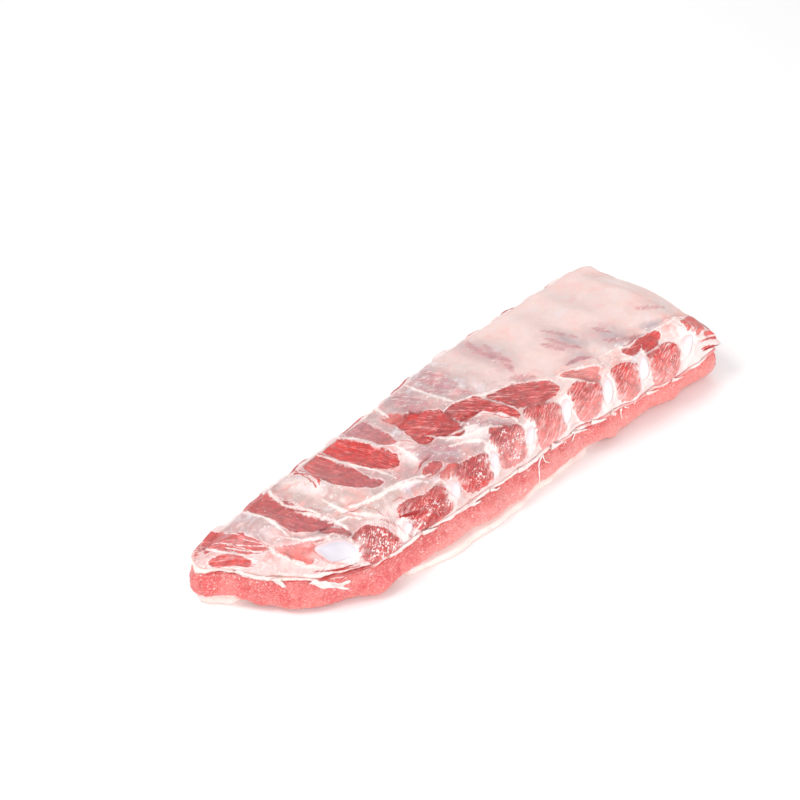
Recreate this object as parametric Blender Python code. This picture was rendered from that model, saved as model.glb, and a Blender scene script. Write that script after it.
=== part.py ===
# Raw rack of pork ribs, lying meat side down with the membrane side up.
# Four layers lie on each other: outer fat, a slab of meat, a white seam of fat
# and the rib layer, and nine cut rib bones run through the rib layer.
# +X runs along the rack from its tapered near end, +Y runs along the ribs from
# the cut face towards the back edge, +Z is up. All sizes are in millimetres and
# are turned to metres when a mesh is made.
import math

import bmesh
import bpy
import numpy as np

MM = 0.001
CENTRE = (3.98, 3.72, 0.0)  # of the rack's box in plan, moved to the origin

# Heights of the layers
FAT_BASE = 0.0
FAT_TOP = 5.0
SLAB_TOP = 21.5
SEAM_TOP = 24.5
GAP = 0.3
EDGE_HEIGHT = 43.0  # of the rib layer above the cut face
CROWN = 3.0  # how far the middle of the rib layer stands over its edges
BACK_DROP = 6.0  # how far the back edge lies under the front one

# Plan of the rack at the seam, as points of two edges over X
NEAR_X, FAR_X = -176.0, 186.0
FRONT_EDGE = [
    (-180, 22), (-172, 17), (-165, 10), (-157, -3), (-144, -20), (-126, -33),
    (-110, -39), (-77, -41), (-32, -43), (30, -43), (60, -43), (84, -47),
    (113, -50), (150, -54), (186, -54),
]
BACK_EDGE = [
    (-180, 26), (-174, 31), (-163, 35), (-143, 37), (-104, 40), (-63, 44),
    (-25, 48), (28, 56), (90, 59), (150, 60), (172, 60), (186, 55),
]
FAR_BULGE = 3.5  # of the far end between its corners
NEAR_BULGE = 2.5
NEAR_BELLY = 4.0  # how far the slab bulges out at its tapered end

# How far the slab's lower edge stands out from the seam along the cut face
FLARE = [
    (-180, 3), (-165, 7), (-144, 2), (-126, 1), (-94, 6), (-54, 5), (-6, 7),
    (58, 4), (84, 2), (113, -3), (150, -4), (186, -2),
]

# How the sides lean: how far an edge moves inwards from the seam to the top
FRONT_LEAN = [
    (-180, 2), (-165, 5), (-148, 10), (-110, 14), (60, 15), (95, 16), (135, 19),
    (162, 17), (176, 8), (186, -2),
]
BACK_LEAN = 3.0
END_LEAN = 2.0
TIP_LEAN = 5.0
TIP_DROP = 13.0  # how far the top comes down at the tapered end
TIP_LENGTH = 50.0
FAR_DROP = 4.0  # how far the top rolls down at the far end
FAR_ROLL = 16.0

# The slab reaches down round the outer fat, except where the fat comes out
# under it: along the middle of the cut face and at the tapered end
SKIRT_BOTTOM = 0.8
SKIRT_WIDTH = 6.0
FAT_SHOWS = [
    (-186, 1), (-168, 1), (-144, 0), (-106, 0), (-80, 1), (68, 1), (94, 0),
    (190, 0),
]
FAT_LEDGE = [
    (-186, 1.5), (-165, 2), (-155, 0), (-95, 0), (-80, 2), (-62, 7), (-40, 7),
    (-13, 5), (7, 2.5), (54, 1.5), (70, 1), (86, 0), (190, 0),
]
LIP = 9.0  # how far a layer's uneven rim reaches in before it is flat
SCALLOP = 1.6  # unevenness of the cut edges
EDGE_BULGE = 2.2  # of the meat between two ribs on the cut face

# Ribs, counted from the far end: X on the cut face, and shift of X for each
# millimetre towards the back
RIB_X = [165, 127, 94, 61, 28, -4, -39, -80, -122]
RIB_SLANT = [0.05, 0.06, 0.06, 0.05, 0.02, -0.08, -0.27, -0.32, -0.36]
RIB_HEIGHT = [34.5, 34.5, 34, 34, 34, 34, 32.5, 30, 33]  # on the cut face
BONE_TALL = [6.4, 6.8, 6.4, 6.2, 6.0, 5.6, 4.8, 3.9, 5.2]  # half sizes there
BONE_WIDE = [3.8, 4.2, 4.4, 4.2, 4.0, 3.6, 3.8, 4.3, 7.0]
BACK_HEIGHT = [30.5, 30.5, 30.5, 30.5, 30.5, 30.5, 30.5, 30, 28.5]
BLADE_TALL = [3.2, 3.2, 3.2, 3.2, 3.2, 3.1, 3.0, 2.9, 2.4]  # half sizes there
BLADE_WIDE = [6.0, 6.0, 6.0, 6.0, 6.0, 6.0, 5.8, 5.6, 5.2]
OVAL_LEAN = 0.6  # how far the cut ovals lean along the rack with their height
FRONT_PROUD, BACK_PROUD = 1.0, -0.2
BONE_SHRINK = 0.3
RIDGE = 2.0  # height of the ridge over a rib

# Mounds and hollows of the membrane side: X, Y, half lengths along and across
# the main direction, that direction in degrees from X, and height
RELIEF = {
    "white_fat_mound": (-106, 14, 20, 12, -60, 1.6),
    "front_fat_mound": (-74, -22, 16, 8, -10, 1.2),
    "near_hollow": (-128, 6, 24, 8, -70, -1.8),
    "second_hollow": (-84, 14, 22, 8, -62, -1.5),
    "third_hollow": (-62, 14, 18, 6, -65, -1.2),
    "torn_strip": (-18, 6, 20, 8, -38, -1.4),
    "front_muscle": (22, -12, 20, 8, -22, 1.0),
    "small_dimple": (56, -10, 8, 5, -30, -1.2),
    "far_hollow": (146, -12, 14, 7, 10, -1.4),
    "tip_muscle": (-168, 14, 12, 8, -30, 1.0),
}

# Crevices in the cut face: X, height, half length, half height, half depth
CREVICES = {
    "slit_by_rib_8": (-67, 33.5, 9.0, 1.8, 4.0),
    "gap_under_rib_9": (-124, 26.5, 10.0, 1.5, 3.5),
    "small_gap": (60, 26.4, 5.0, 1.2, 3.0),
}

# Fineness of the meshes
ALONG, ACROSS = 56, 13
BONE_SIDES, BONE_STEPS = 12, 6
NEAR_DENSITY = 1.2

COLOURS = {
    "outer_fat": (0.93, 0.78, 0.69),
    "meat_slab": (0.80, 0.30, 0.30),
    "seam_fat": (0.92, 0.80, 0.76),
    "rib_meat": (0.84, 0.62, 0.60),
    "bone": (0.90, 0.87, 0.90),
}


def smooth_edge(points, x):
    """Y of a smooth curve through points at each x."""
    px, py = np.array(points, float).T
    slope = np.gradient(py, px)
    x = np.clip(x, px[0], px[-1])
    i = np.clip(np.searchsorted(px, x) - 1, 0, len(px) - 2)
    step = px[i + 1] - px[i]
    t = (x - px[i]) / step
    return (
        (2 * t**3 - 3 * t**2 + 1) * py[i]
        + (t**3 - 2 * t**2 + t) * step * slope[i]
        + (3 * t**2 - 2 * t**3) * py[i + 1]
        + (t**3 - t**2) * step * slope[i + 1]
    )


def ease(t):
    t = np.clip(t, 0.0, 1.0)
    return t * t * (3 - 2 * t)


def ripple(x, y, z, size):
    """Smooth unevenness between about -1 and 1, with bumps of this size."""
    a, b, c = x / size, y / size, z / size
    return (
        np.sin(2.1 * a + 1.7 * np.sin(1.3 * b + 0.5) + 0.4 * c)
        + np.sin(1.6 * b - 1.2 * np.sin(1.9 * a + 1.1) + 0.7 * c)
        + np.sin(2.7 * c + 1.1 * a - 0.8 * b + 2.0)
    ) / 3


def near_distance(x):
    return np.clip((NEAR_X + TIP_LENGTH - x) / TIP_LENGTH, 0.0, 1.0)


def plan_point(u, v, height):
    """Plan position at u along the rack and v across it, at a height."""
    rise = ease((height - SEAM_TOP) / (EDGE_HEIGHT - SEAM_TOP))
    sink = ease((SEAM_TOP - height) / (SEAM_TOP - FAT_TOP))
    belly = NEAR_BELLY * math.sin(math.pi * min(height, SEAM_TOP) / SEAM_TOP)
    near = NEAR_X + TIP_LEAN * rise - NEAR_BULGE * np.sin(math.pi * v) - belly
    far = FAR_X - END_LEAN * rise + FAR_BULGE * np.sin(math.pi * v)
    x = near + (far - near) * u**NEAR_DENSITY
    front = smooth_edge(FRONT_EDGE, x) + smooth_edge(FRONT_LEAN, x) * rise
    front = front - smooth_edge(FLARE, x) * sink
    back = smooth_edge(BACK_EDGE, x) - BACK_LEAN * rise
    return x, front + (back - front) * v


def rim_parameters(along=ALONG, across=ACROSS):
    """u, v of the points round the rim, in the order of the grid's border."""
    u, v = np.linspace(0, 1, along + 1), np.linspace(0, 1, across + 1)
    return (
        np.concatenate([u[:-1], np.ones(across), u[:0:-1], np.zeros(across)]),
        np.concatenate([np.zeros(along), v[:-1], np.ones(along), v[:0:-1]]),
    )


def outward(x, y):
    """Outward normals of a closed plan loop that runs anticlockwise."""
    dx, dy = np.roll(x, -1) - np.roll(x, 1), np.roll(y, -1) - np.roll(y, 1)
    size = np.hypot(dx, dy)
    return dy / size, -dx / size


def rib_at(k, y):
    """X of rib k where it is at y."""
    return RIB_X[k] + RIB_SLANT[k] * (y + 30.0)


def over_ribs(x, y):
    """1 over a rib, 0 halfway between two ribs."""
    nearest = np.full(np.shape(x), 1e9)
    for k in range(len(RIB_X)):
        nearest = np.minimum(nearest, np.abs(x - rib_at(k, y)))
    return np.exp(-((nearest / 9.0) ** 2))


def moved_inwards(u, v, height, depth):
    """Plan parameters of rim points that lie this deep inside the rim."""
    width = plan_point(u, np.ones_like(u), height)[1] - plan_point(u, 0 * u, height)[1]
    du, dv = depth / 370.0, 0.35 * np.tanh(depth / width / 0.35)
    return du + u * (1 - 2 * du), dv + v * (1 - 2 * dv)


def rim_row(height, out=0.0, bulge=0.0, rough=SCALLOP, grain=9.0, depth=0.0):
    """One closed row of points round the rack, moved out by out millimetres."""
    u, v = rim_parameters()
    level = float(np.mean(height))
    x, y = plan_point(*moved_inwards(u, v, level, depth), level)
    nx, ny = outward(*plan_point(u, v, level))
    side = (v < 0.001) | (v > 0.999)
    high = np.zeros_like(x) + height
    fade = 1 - np.clip(depth / LIP, 0, 1)
    move = out + rough * fade * ripple(x, y, high, grain)
    move = move + np.where(side, bulge * (1 - over_ribs(x, y)), 0.5 * bulge)
    return np.stack([x + nx * move, y + ny * move, high], 1)


def top_height(x, y, v):
    """Height of the membrane side."""
    height = EDGE_HEIGHT + CROWN * np.sin(math.pi * np.clip(v * 1.1, 0, 1))
    roll = ease((x - FAR_X + FAR_ROLL) / FAR_ROLL)
    height = height - BACK_DROP * ease((v - 0.35) / 0.65) * (1 - 0.4 * roll)
    height = height - FAR_DROP * roll * np.cos(0.5 * math.pi * v) ** 0.5
    height = height - TIP_DROP * near_distance(x) ** 1.4
    inside = np.sin(math.pi * v) ** 0.5
    relief = RIDGE * (over_ribs(x, y) - 0.4) + 0.9 * ripple(x, y, 0 * x, 16.0)
    for at_x, at_y, long, wide, turn, high in RELIEF.values():
        c, s = math.cos(math.radians(turn)), math.sin(math.radians(turn))
        a = ((x - at_x) * c + (y - at_y) * s) / long
        b = ((y - at_y) * c - (x - at_x) * s) / wide
        relief = relief + high * np.exp(-(a * a + b * b))
    return height + relief * (0.35 + 0.65 * inside)


def top_grid():
    """Points of the membrane side as a grid of ALONG by ACROSS cells."""
    u, v = np.meshgrid(
        np.linspace(0, 1, ALONG + 1), np.linspace(0, 1, ACROSS + 1), indexing="ij"
    )
    x, y = plan_point(u, v, EDGE_HEIGHT)
    return np.stack([x, y, top_height(x, y, v)], 2)


def grid_border():
    """Indices of the grid's border, in the order of rim_parameters."""
    index = np.arange((ALONG + 1) * (ACROSS + 1)).reshape(ALONG + 1, ACROSS + 1)
    return np.concatenate(
        [index[:-1, 0], index[-1, :-1], index[:0:-1, -1], index[0, :0:-1]]
    )


def bands(first, second):
    """Faces between two closed rows of point indices, the upper row second."""
    n = len(first)
    return [
        (first[i], first[(i + 1) % n], second[(i + 1) % n], second[i])
        for i in range(n)
    ]


def material(name, colour):
    made = bpy.data.materials.new(name)
    made.use_nodes = True
    shader = made.node_tree.nodes["Principled BSDF"]
    shader.inputs["Base Color"].default_value = (*colour, 1.0)
    shader.inputs["Roughness"].default_value = 0.38
    shader.inputs["Metallic"].default_value = 0.0
    return made


def make_object(name, points, faces, finish):
    mesh = bpy.data.meshes.new(name)
    mesh.from_pydata(((np.asarray(points) - CENTRE) * MM).tolist(), [], faces)
    mesh.materials.append(finish)
    edit = bmesh.new()
    edit.from_mesh(mesh)
    bmesh.ops.recalc_face_normals(edit, faces=edit.faces)
    edit.to_mesh(mesh)
    edit.free()
    mesh.shade_smooth()
    made = bpy.data.objects.new(name, mesh)
    bpy.context.scene.collection.objects.link(made)
    return made


def stacked_rows(rows, cap_last=True):
    """Points and faces of closed rows stacked on each other, capped flat."""
    count = len(rows[0])
    faces = [tuple(range(count))[::-1]]
    for level in range(len(rows) - 1):
        lower = [level * count + i for i in range(count)]
        faces += bands(lower, [i + count for i in lower])
    if cap_last:
        faces.append(tuple((len(rows) - 1) * count + i for i in range(count)))
    return np.concatenate(rows), faces


def shown_fat():
    """For the points of the rim: how far the outer fat shows, and its ledge."""
    u, v = rim_parameters()
    x, y = plan_point(u, v, FAT_TOP)
    front = (v < 0.001) | (u < 0.001)
    seen = np.where(front, smooth_edge(FAT_SHOWS, x), 1 - ease((x + 170) / 26))
    return np.clip(seen, 0, 1), smooth_edge(FAT_LEDGE, x)


def outer_fat(finish):
    seen, ledge = shown_fat()
    shown = ease((seen - 0.6) / 0.4)
    rows = []
    for z, out in ((FAT_BASE, -1.0), (1.4, 0.3), (FAT_TOP - 1.2, -0.2), (FAT_TOP, -1.2)):
        row = rim_row(FAT_TOP, out + ledge * shown, depth=SKIRT_WIDTH * (1 - shown))
        row[:, 2] = z
        rows.append(row)
    return make_object("outer_fat", *stacked_rows(rows), finish)


def meat_slab(finish):
    seen, ledge = shown_fat()
    flat = FAT_TOP + GAP
    low = SKIRT_BOTTOM + (flat - SKIRT_BOTTOM) * ease(seen / 0.4)
    inner = rim_row(FAT_TOP, depth=SKIRT_WIDTH - 1.4)
    inner[:, 2] = flat
    under = rim_row(FAT_TOP, depth=SKIRT_WIDTH - 1.8)
    under[:, 2] = low
    foot = rim_row(FAT_TOP, 0.8)
    foot[:, 2] = low
    rows = [inner, under, foot]
    for share, out, bulge in ((0.2, 2.2, 0.8), (0.6, 2.4, 1.0), (1.0, -0.4, 0.4)):
        row = rim_row(flat + (SLAB_TOP - flat) * share, out, bulge)
        row[:, 2] -= (1 - share) * (flat - low) * 0.6
        rows.append(row)
    return make_object("meat_slab", *stacked_rows(rows), finish)


def seam_fat(finish):
    bottom = SLAB_TOP + GAP
    rows = [
        rim_row(bottom, -1.4),
        rim_row((bottom + SEAM_TOP) / 2, 1.2, rough=2.2, grain=5.0),
        rim_row(SEAM_TOP, 0.2),
    ]
    return make_object("seam_fat", *stacked_rows(rows), finish)


def cut_face(x, z):
    """Y of the cut face of the rib layer."""
    rise = ease((z - SEAM_TOP) / (EDGE_HEIGHT - SEAM_TOP))
    y = smooth_edge(FRONT_EDGE, x) + smooth_edge(FRONT_LEAN, x) * rise
    return y - 1.2 - SCALLOP * ripple(x, y, z, 9.0)


def back_face(x, z):
    """Y of the back edge of the rib layer."""
    rise = ease((z - SEAM_TOP) / (EDGE_HEIGHT - SEAM_TOP))
    y = smooth_edge(BACK_EDGE, x) - BACK_LEAN * rise
    return y + 1.2 + SCALLOP * ripple(x, y, z, 9.0)


def bone_shape(k, grow=0.0, overrun=0.0):
    """Points and faces of bone k: an oval that flattens towards the back.

    Both ends are cut along the faces of the rib layer.
    """
    angle = np.linspace(0, 2 * math.pi, BONE_SIDES, endpoint=False)
    rows = []
    for s in np.linspace(0, 1, BONE_STEPS):
        turn = ease(s * 1.6)
        wide = BONE_WIDE[k] + (BLADE_WIDE[k] - BONE_WIDE[k]) * turn + grow
        tall = BONE_TALL[k] + (BLADE_TALL[k] - BONE_TALL[k]) * turn + grow
        middle = RIB_HEIGHT[k] + (BACK_HEIGHT[k] - RIB_HEIGHT[k]) * s
        z = middle + np.sin(angle) * tall
        front = cut_face(np.full_like(z, RIB_X[k]), z) - FRONT_PROUD
        far_x = rib_at(k, smooth_edge(BACK_EDGE, RIB_X[k]))
        back = back_face(far_x, z) + BACK_PROUD
        y = front + (back - front) * s
        x = rib_at(k, y) + np.cos(angle) * wide
        x = x + OVAL_LEAN * (1 - turn) * (z - middle)
        rows.append(np.stack([x, y, z], 1))
    if overrun:
        rows.insert(0, rows[0] - [RIB_SLANT[k] * overrun, overrun, 0])
        rows.append(rows[-1] + [RIB_SLANT[k] * overrun, overrun, 0])
    return stacked_rows(rows)


def crevice(x, z, long, tall, deep):
    """A lens that cuts a crevice into the cut face."""
    rings, sides = 5, 12
    rows = []
    for i in range(1, rings):
        turn = math.pi * i / rings
        around = np.linspace(0, 2 * math.pi, sides, endpoint=False)
        px = x + long * np.cos(around) * math.sin(turn)
        py = cut_face(px, z) - deep * math.cos(turn)
        pz = z + tall * np.sin(around) * math.sin(turn)
        rows.append(np.stack([px, py, pz], 1))
    return stacked_rows(rows)


def rib_meat(finish):
    bottom = SEAM_TOP + GAP
    rows = [rim_row(bottom, depth=LIP)]
    for share, out in ((0.0, -0.4), (0.12, 0.8), (0.45, 1.4), (0.8, 1.2)):
        height = bottom + (EDGE_HEIGHT - bottom) * share
        row = rim_row(height, out, EDGE_BULGE * math.sin(math.pi * (0.15 + share)))
        row[:, 2] -= (row[:, 2] - bottom) * 0.9 * TIP_DROP / (EDGE_HEIGHT - bottom) \
            * near_distance(row[:, 0]) ** 1.4
        u, v = rim_parameters()
        row[:, 2] -= (BACK_DROP * ease((v - 0.35) / 0.65)) * share
        rows.append(row)
    count = len(rows[0])
    points, faces = stacked_rows(rows, cap_last=False)
    grid = top_grid()
    start = len(points)
    index = start + np.arange(grid.shape[0] * grid.shape[1]).reshape(grid.shape[:2])
    last = [start - count + i for i in range(count)]
    faces += bands(last, (start + grid_border()).tolist())
    faces += [
        (int(index[i, j]), int(index[i + 1, j]), int(index[i + 1, j + 1]), int(index[i, j + 1]))
        for i in range(ALONG)
        for j in range(ACROSS)
    ]
    points = np.concatenate([points, grid.reshape(-1, 3)])
    made = make_object("rib_meat", points, faces, finish)
    cutters = bpy.data.collections.new("cutters")
    bpy.context.scene.collection.children.link(cutters)
    shapes = [bone_shape(k, 0.0, 10.0) for k in range(len(RIB_X))]
    shapes += [crevice(*sizes) for sizes in CREVICES.values()]
    for number, shape in enumerate(shapes):
        cutter = make_object(f"cutter_{number + 1}", *shape, finish)
        bpy.context.scene.collection.objects.unlink(cutter)
        cutters.objects.link(cutter)
        cutter.hide_render = True
        cutter.display_type = "WIRE"
    cut = made.modifiers.new("tunnels_and_crevices", "BOOLEAN")
    cut.operation = "DIFFERENCE"
    cut.solver = "EXACT"
    cut.operand_type = "COLLECTION"
    cut.collection = cutters
    return made


def rib_bones(finish):
    for k in range(len(RIB_X)):
        make_object(f"rib_{k + 1}", *bone_shape(k, -BONE_SHRINK), finish)


def main():
    for old in list(bpy.data.objects):
        bpy.data.objects.remove(old)
    finish = {name: material(name, colour) for name, colour in COLOURS.items()}
    outer_fat(finish["outer_fat"])
    meat_slab(finish["meat_slab"])
    seam_fat(finish["seam_fat"])
    rib_meat(finish["rib_meat"])
    rib_bones(finish["bone"])


main()
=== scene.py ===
import math

import bpy
import numpy as np
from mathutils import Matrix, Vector


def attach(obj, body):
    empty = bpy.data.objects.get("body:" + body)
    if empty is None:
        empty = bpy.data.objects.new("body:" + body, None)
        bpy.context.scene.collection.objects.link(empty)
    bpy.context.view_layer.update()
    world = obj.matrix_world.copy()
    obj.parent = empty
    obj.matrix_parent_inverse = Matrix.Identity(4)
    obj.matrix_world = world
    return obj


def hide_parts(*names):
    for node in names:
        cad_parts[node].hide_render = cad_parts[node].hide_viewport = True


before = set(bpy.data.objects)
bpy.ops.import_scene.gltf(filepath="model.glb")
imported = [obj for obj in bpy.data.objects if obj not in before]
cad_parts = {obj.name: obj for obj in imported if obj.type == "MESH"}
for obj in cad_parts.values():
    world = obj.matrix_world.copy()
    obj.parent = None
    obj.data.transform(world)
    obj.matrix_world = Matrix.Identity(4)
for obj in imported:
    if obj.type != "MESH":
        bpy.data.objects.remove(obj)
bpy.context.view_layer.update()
print("frame loaded with", len(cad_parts), "solids")

# Raw rack of pork ribs, membrane side up. Lengths are in millimetres until a mesh is made.
# +X runs from the tapered near end, +Y from the cut face to the back edge, +Z up.
mm = 0.001
rackCentre = np.array((3.98, 3.72, 0.0))   # middle of the rack in plan, which is the frame's origin

rack = {
    "fatTop": 5.0, "slabTop": 21.5, "seamTop": 24.5, "edgeHeight": 43.0, "gap": 0.3,
    "crown": 3.0, "backDrop": 6.0, "nearX": -176.0, "farX": 186.0,
    "frontEdge": [(-180, 22), (-172, 17), (-165, 10), (-157, -3), (-144, -20), (-126, -33),
                  (-110, -39), (-77, -41), (-32, -43), (30, -43), (60, -43), (84, -47),
                  (113, -50), (150, -54), (186, -54)],
    "backEdge": [(-180, 26), (-174, 31), (-163, 35), (-143, 37), (-104, 40), (-63, 44),
                 (-25, 48), (28, 56), (90, 59), (150, 60), (170, 60), (179, 58), (186, 52)],
    "farBulge": 3.5, "nearBulge": 2.5, "nearBelly": 4.0,
    "flare": [(-180, 3), (-165, 7), (-144, 2), (-126, 1), (-94, 6), (-54, 5), (-6, 7),
              (58, 4), (84, 2), (113, -3), (150, -4), (186, -2)],
    "frontLean": [(-180, 2), (-165, 5), (-148, 10), (-110, 14), (60, 15), (95, 16),
                  (135, 19), (162, 17), (176, 8), (186, -2)],
    "backLean": 3.0, "endLean": 2.0, "tipLean": 5.0, "tipDrop": 13.0, "tipLength": 50.0,
    "farDrop": 4.0, "farRoll": 16.0, "skirtBottom": 0.8, "skirtWidth": 6.0,
    "fatShows": [(-186, 1), (-171, 1), (-158, 0), (-106, 0), (-80, 1), (68, 1), (94, 0), (190, 0)],
    "fatLedge": [(-186, 1.5), (-165, 2), (-155, 0), (-95, 0), (-80, 2), (-62, 7), (-40, 7),
                 (-13, 5), (7, 2.5), (54, 1.5), (70, 1), (86, 0), (190, 0)],
    "lip": 9.0, "scallop": 1.6, "edgeBulge": 2.2, "ridge": 2.0, "nearDensity": 1.08,
}

# Mounds and hollows of the top: X, Y, half lengths, turn in degrees, height
relief = {
    "whiteFatMound": (-106, 14, 20, 12, -60, 1.6),
    "frontFatMound": (-74, -22, 16, 8, -10, 1.2),
    "nearHollow": (-128, 6, 24, 8, -70, -1.8),
    "secondHollow": (-84, 14, 22, 8, -62, -1.5),
    "thirdHollow": (-62, 14, 18, 6, -65, -1.2),
    "tornStrip": (-18, 6, 20, 8, -38, -1.4),
    "frontMuscle": (22, -12, 20, 8, -22, 1.0),
    "smallDimple": (56, -10, 8, 5, -30, -1.2),
    "farHollow": (146, -12, 14, 7, 10, -1.4),
    "tipMuscle": (-168, 14, 12, 8, -30, 1.0),
}

# Ribs, counted from the far end
ribs = {
    "atX": [165, 127, 94, 61, 28, -4, -39, -80, -122],
    "slant": [0.05, 0.06, 0.06, 0.05, 0.02, -0.08, -0.27, -0.32, -0.36],
    "height": [34.5, 34.5, 34, 34, 34, 34, 32.5, 30, 33],
    "tall": [6.4, 6.8, 6.4, 5.7, 5.0, 4.4, 3.9, 3.6, 6.0],
    "wide": [3.8, 4.2, 4.4, 4.2, 4.0, 3.6, 3.8, 4.3, 8.0],
    "backHeight": [30.5] * 7 + [30, 28.5],
    "bladeTall": [3.2] * 5 + [3.1, 3.0, 2.9, 2.4],
    "bladeWide": [6.0] * 6 + [5.8, 5.6, 5.2],
    "frontTall": [0.74, 0.68, 0.72, 0.7, 0.7, 0.68, 0.66, 0.6, 1.0],
    "frontWide": [1.0, 0.95, 0.95, 0.9, 0.95, 0.9, 0.88, 0.92, 1.0],
    "nine": {"wide": 8.3, "above": 6.6, "below": 3.4, "shift": -3.4, "at": (-120.5, 33.6)},
    "ovalLean": 1.1, "frontProud": 0.2, "backProud": -0.2, "shrink": 0.3,
}

ribCount = len(ribs["atX"])
nearRib = ribCount - 1   # its cut end is low and wide

# Colours as seen on a screen, 0 to 255
palette = {
    "membrane": (194, 163, 162), "farMembrane": (226, 196, 190), "greyMembrane": (178, 154, 158),
    # the last colour on the next line is painted shade for hollows of the top
    "lavender": (195, 188, 198), "hollowShadeGrey": (166, 150, 160),
    "whiteFat": (243, 222, 219), "creamFat": (202, 173, 167), "fascia": (240, 220, 216),
    "strand": (250, 236, 232), "peachFat": (255, 216, 208), "bluishWhite": (216, 216, 226),
    "darkMuscle": (174, 44, 42), "blockMuscle": (174, 46, 50), "redMuscle": (190, 38, 34),
    "brightMuscle": (200, 40, 34), "duskyMuscle": (190, 70, 68), "mauveMuscle": (176, 68, 72),
    # the last colour on the next line is the grooves' deep red, partly painted shade
    "pinkMuscle": (222, 124, 120), "lumpRed": (208, 84, 76), "grooveShadeRed": (168, 4, 10),
    "streakRed": (176, 112, 120), "slabDark": (218, 84, 82), "slabPink": (226, 84, 86),
    "slabSalmon": (246, 128, 118), "slabFar": (248, 112, 106), "slabPale": (255, 190, 182),
    "slabCloud": (250, 172, 164), "slabShade": (204, 66, 70), "slabGrain": (255, 198, 192),
    "boneWhite": (240, 235, 238), "boneRing": (216, 200, 212), "boneGloss": (244, 238, 240),
    # the last colour on the next line is painted shade for the creases of the fat
    "boneRim": (232, 196, 194), "fibreLine": (240, 172, 168), "creaseRed": (206, 122, 118),
    # the next line holds painted highlights: wet glints, glints on the ground that also give pale mottle
    # spots, and a light rim at membrane edges
    "glintWhite": (255, 242, 240), "paleSpotAndGlint": (255, 250, 248), "edgeHighlight": (250, 238, 236),
    "mottlePink": (232, 166, 160), "mottleGrey": (222, 214, 218),
    "floor": (250, 249, 249), "floorShade": (236, 236, 238),
}


def linear(name):
    c = np.array(palette[name], float) / 255
    return np.where(c < 0.04045, c / 12.92, ((c + 0.055) / 1.055) ** 2.4)


def smoothEdge(points, x):
    # value at each x of a smooth curve through points
    px, py = np.array(points, float).T
    slope = np.gradient(py, px)
    x = np.clip(x, px[0], px[-1])
    i = np.clip(np.searchsorted(px, x) - 1, 0, len(px) - 2)
    step = px[i + 1] - px[i]
    t = (x - px[i]) / step
    return ((2 * t**3 - 3 * t**2 + 1) * py[i] + (t**3 - 2 * t**2 + t) * step * slope[i]
            + (3 * t**2 - 2 * t**3) * py[i + 1] + (t**3 - t**2) * step * slope[i + 1])


def valueAt(points, at):
    # the same for one number
    return float(smoothEdge(points, np.array(at)))


def ease(t):
    t = np.clip(t, 0.0, 1.0)
    return t * t * (3 - 2 * t)


def riseAt(height):
    # 0 at the seam, 1 at the top of the cut face
    return ease((height - rack["seamTop"]) / (rack["edgeHeight"] - rack["seamTop"]))


def sinkAt(height):
    # 0 at the seam, 1 at the outer fat
    return ease((rack["seamTop"] - height) / (rack["seamTop"] - rack["fatTop"]))


def ripple(x, y, z, size):
    a, b, c = x / size, y / size, z / size
    return (np.sin(2.1 * a + 1.7 * np.sin(1.3 * b + 0.5) + 0.4 * c)
            + np.sin(1.6 * b - 1.2 * np.sin(1.9 * a + 1.1) + 0.7 * c)
            + np.sin(2.7 * c + 1.1 * a - 0.8 * b + 2.0)) / 3


def cloud(x, y, z, size, seed):
    # smooth random value between -1 and 1, with lumps of this size
    p = np.stack([np.asarray(x) / size, np.asarray(y) / size, np.asarray(z) / size]) + seed * 7.31
    cell = np.floor(p).astype(np.int64)
    t = p - cell
    t = t * t * (3 - 2 * t)
    total = np.zeros(p.shape[1:])
    for corner in range(8):
        step = [corner & 1, corner >> 1 & 1, corner >> 2 & 1]
        h = seed * 1013904223
        weight = 1.0
        for k, factor in enumerate((374761393, 668265263, 2147483629)):
            h = h + (cell[k] + step[k]) * factor
            weight = weight * (t[k] if step[k] else 1 - t[k])
        h = (h ^ (h >> 13)) * 1274126177
        h = h ^ (h >> 16)
        total = total + weight * ((h & 0xFFFF) / 32767.5 - 1)
    return total


def clouds(x, y, z, size, seed, layers=3):
    total = 0
    for k in range(layers):
        total = total + cloud(x, y, z, size / 2**k, seed + k) / 2**k
    return total / 1.6


def planPoint(u, v, height):
    rise, sink = riseAt(height), sinkAt(height)
    belly = rack["nearBelly"] * math.sin(math.pi * min(height, rack["seamTop"]) / rack["seamTop"])
    near = rack["nearX"] + rack["tipLean"] * rise - rack["nearBulge"] * np.sin(math.pi * v) - belly
    far = rack["farX"] - rack["endLean"] * rise + rack["farBulge"] * np.sin(math.pi * v)
    x = near + (far - near) * u ** rack["nearDensity"]
    front = smoothEdge(rack["frontEdge"], x) + smoothEdge(rack["frontLean"], x) * rise
    front = front - smoothEdge(rack["flare"], x) * sink
    back = smoothEdge(rack["backEdge"], x) - rack["backLean"] * rise
    return x, front + (back - front) * v


def rimParameters(along, across):
    u, v = np.linspace(0, 1, along + 1), np.linspace(0, 1, across + 1)
    return (np.concatenate([u[:-1], np.ones(across), u[:0:-1], np.zeros(across)]),
            np.concatenate([np.zeros(along), v[:-1], np.ones(along), v[:0:-1]]))


def outward(x, y):
    dx, dy = np.roll(x, -1) - np.roll(x, 1), np.roll(y, -1) - np.roll(y, 1)
    size = np.hypot(dx, dy)
    return dy / size, -dx / size


def ribAt(k, y):
    return ribs["atX"][k] + ribs["slant"][k] * (y + 30.0)


def overRibs(x, y):
    nearest = np.min([np.abs(x - ribAt(k, y)) for k in range(ribCount)], axis=0)
    return np.exp(-((nearest / 9.0) ** 2))


def nearDistance(x):
    return np.clip((rack["nearX"] + rack["tipLength"] - x) / rack["tipLength"], 0.0, 1.0)


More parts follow.
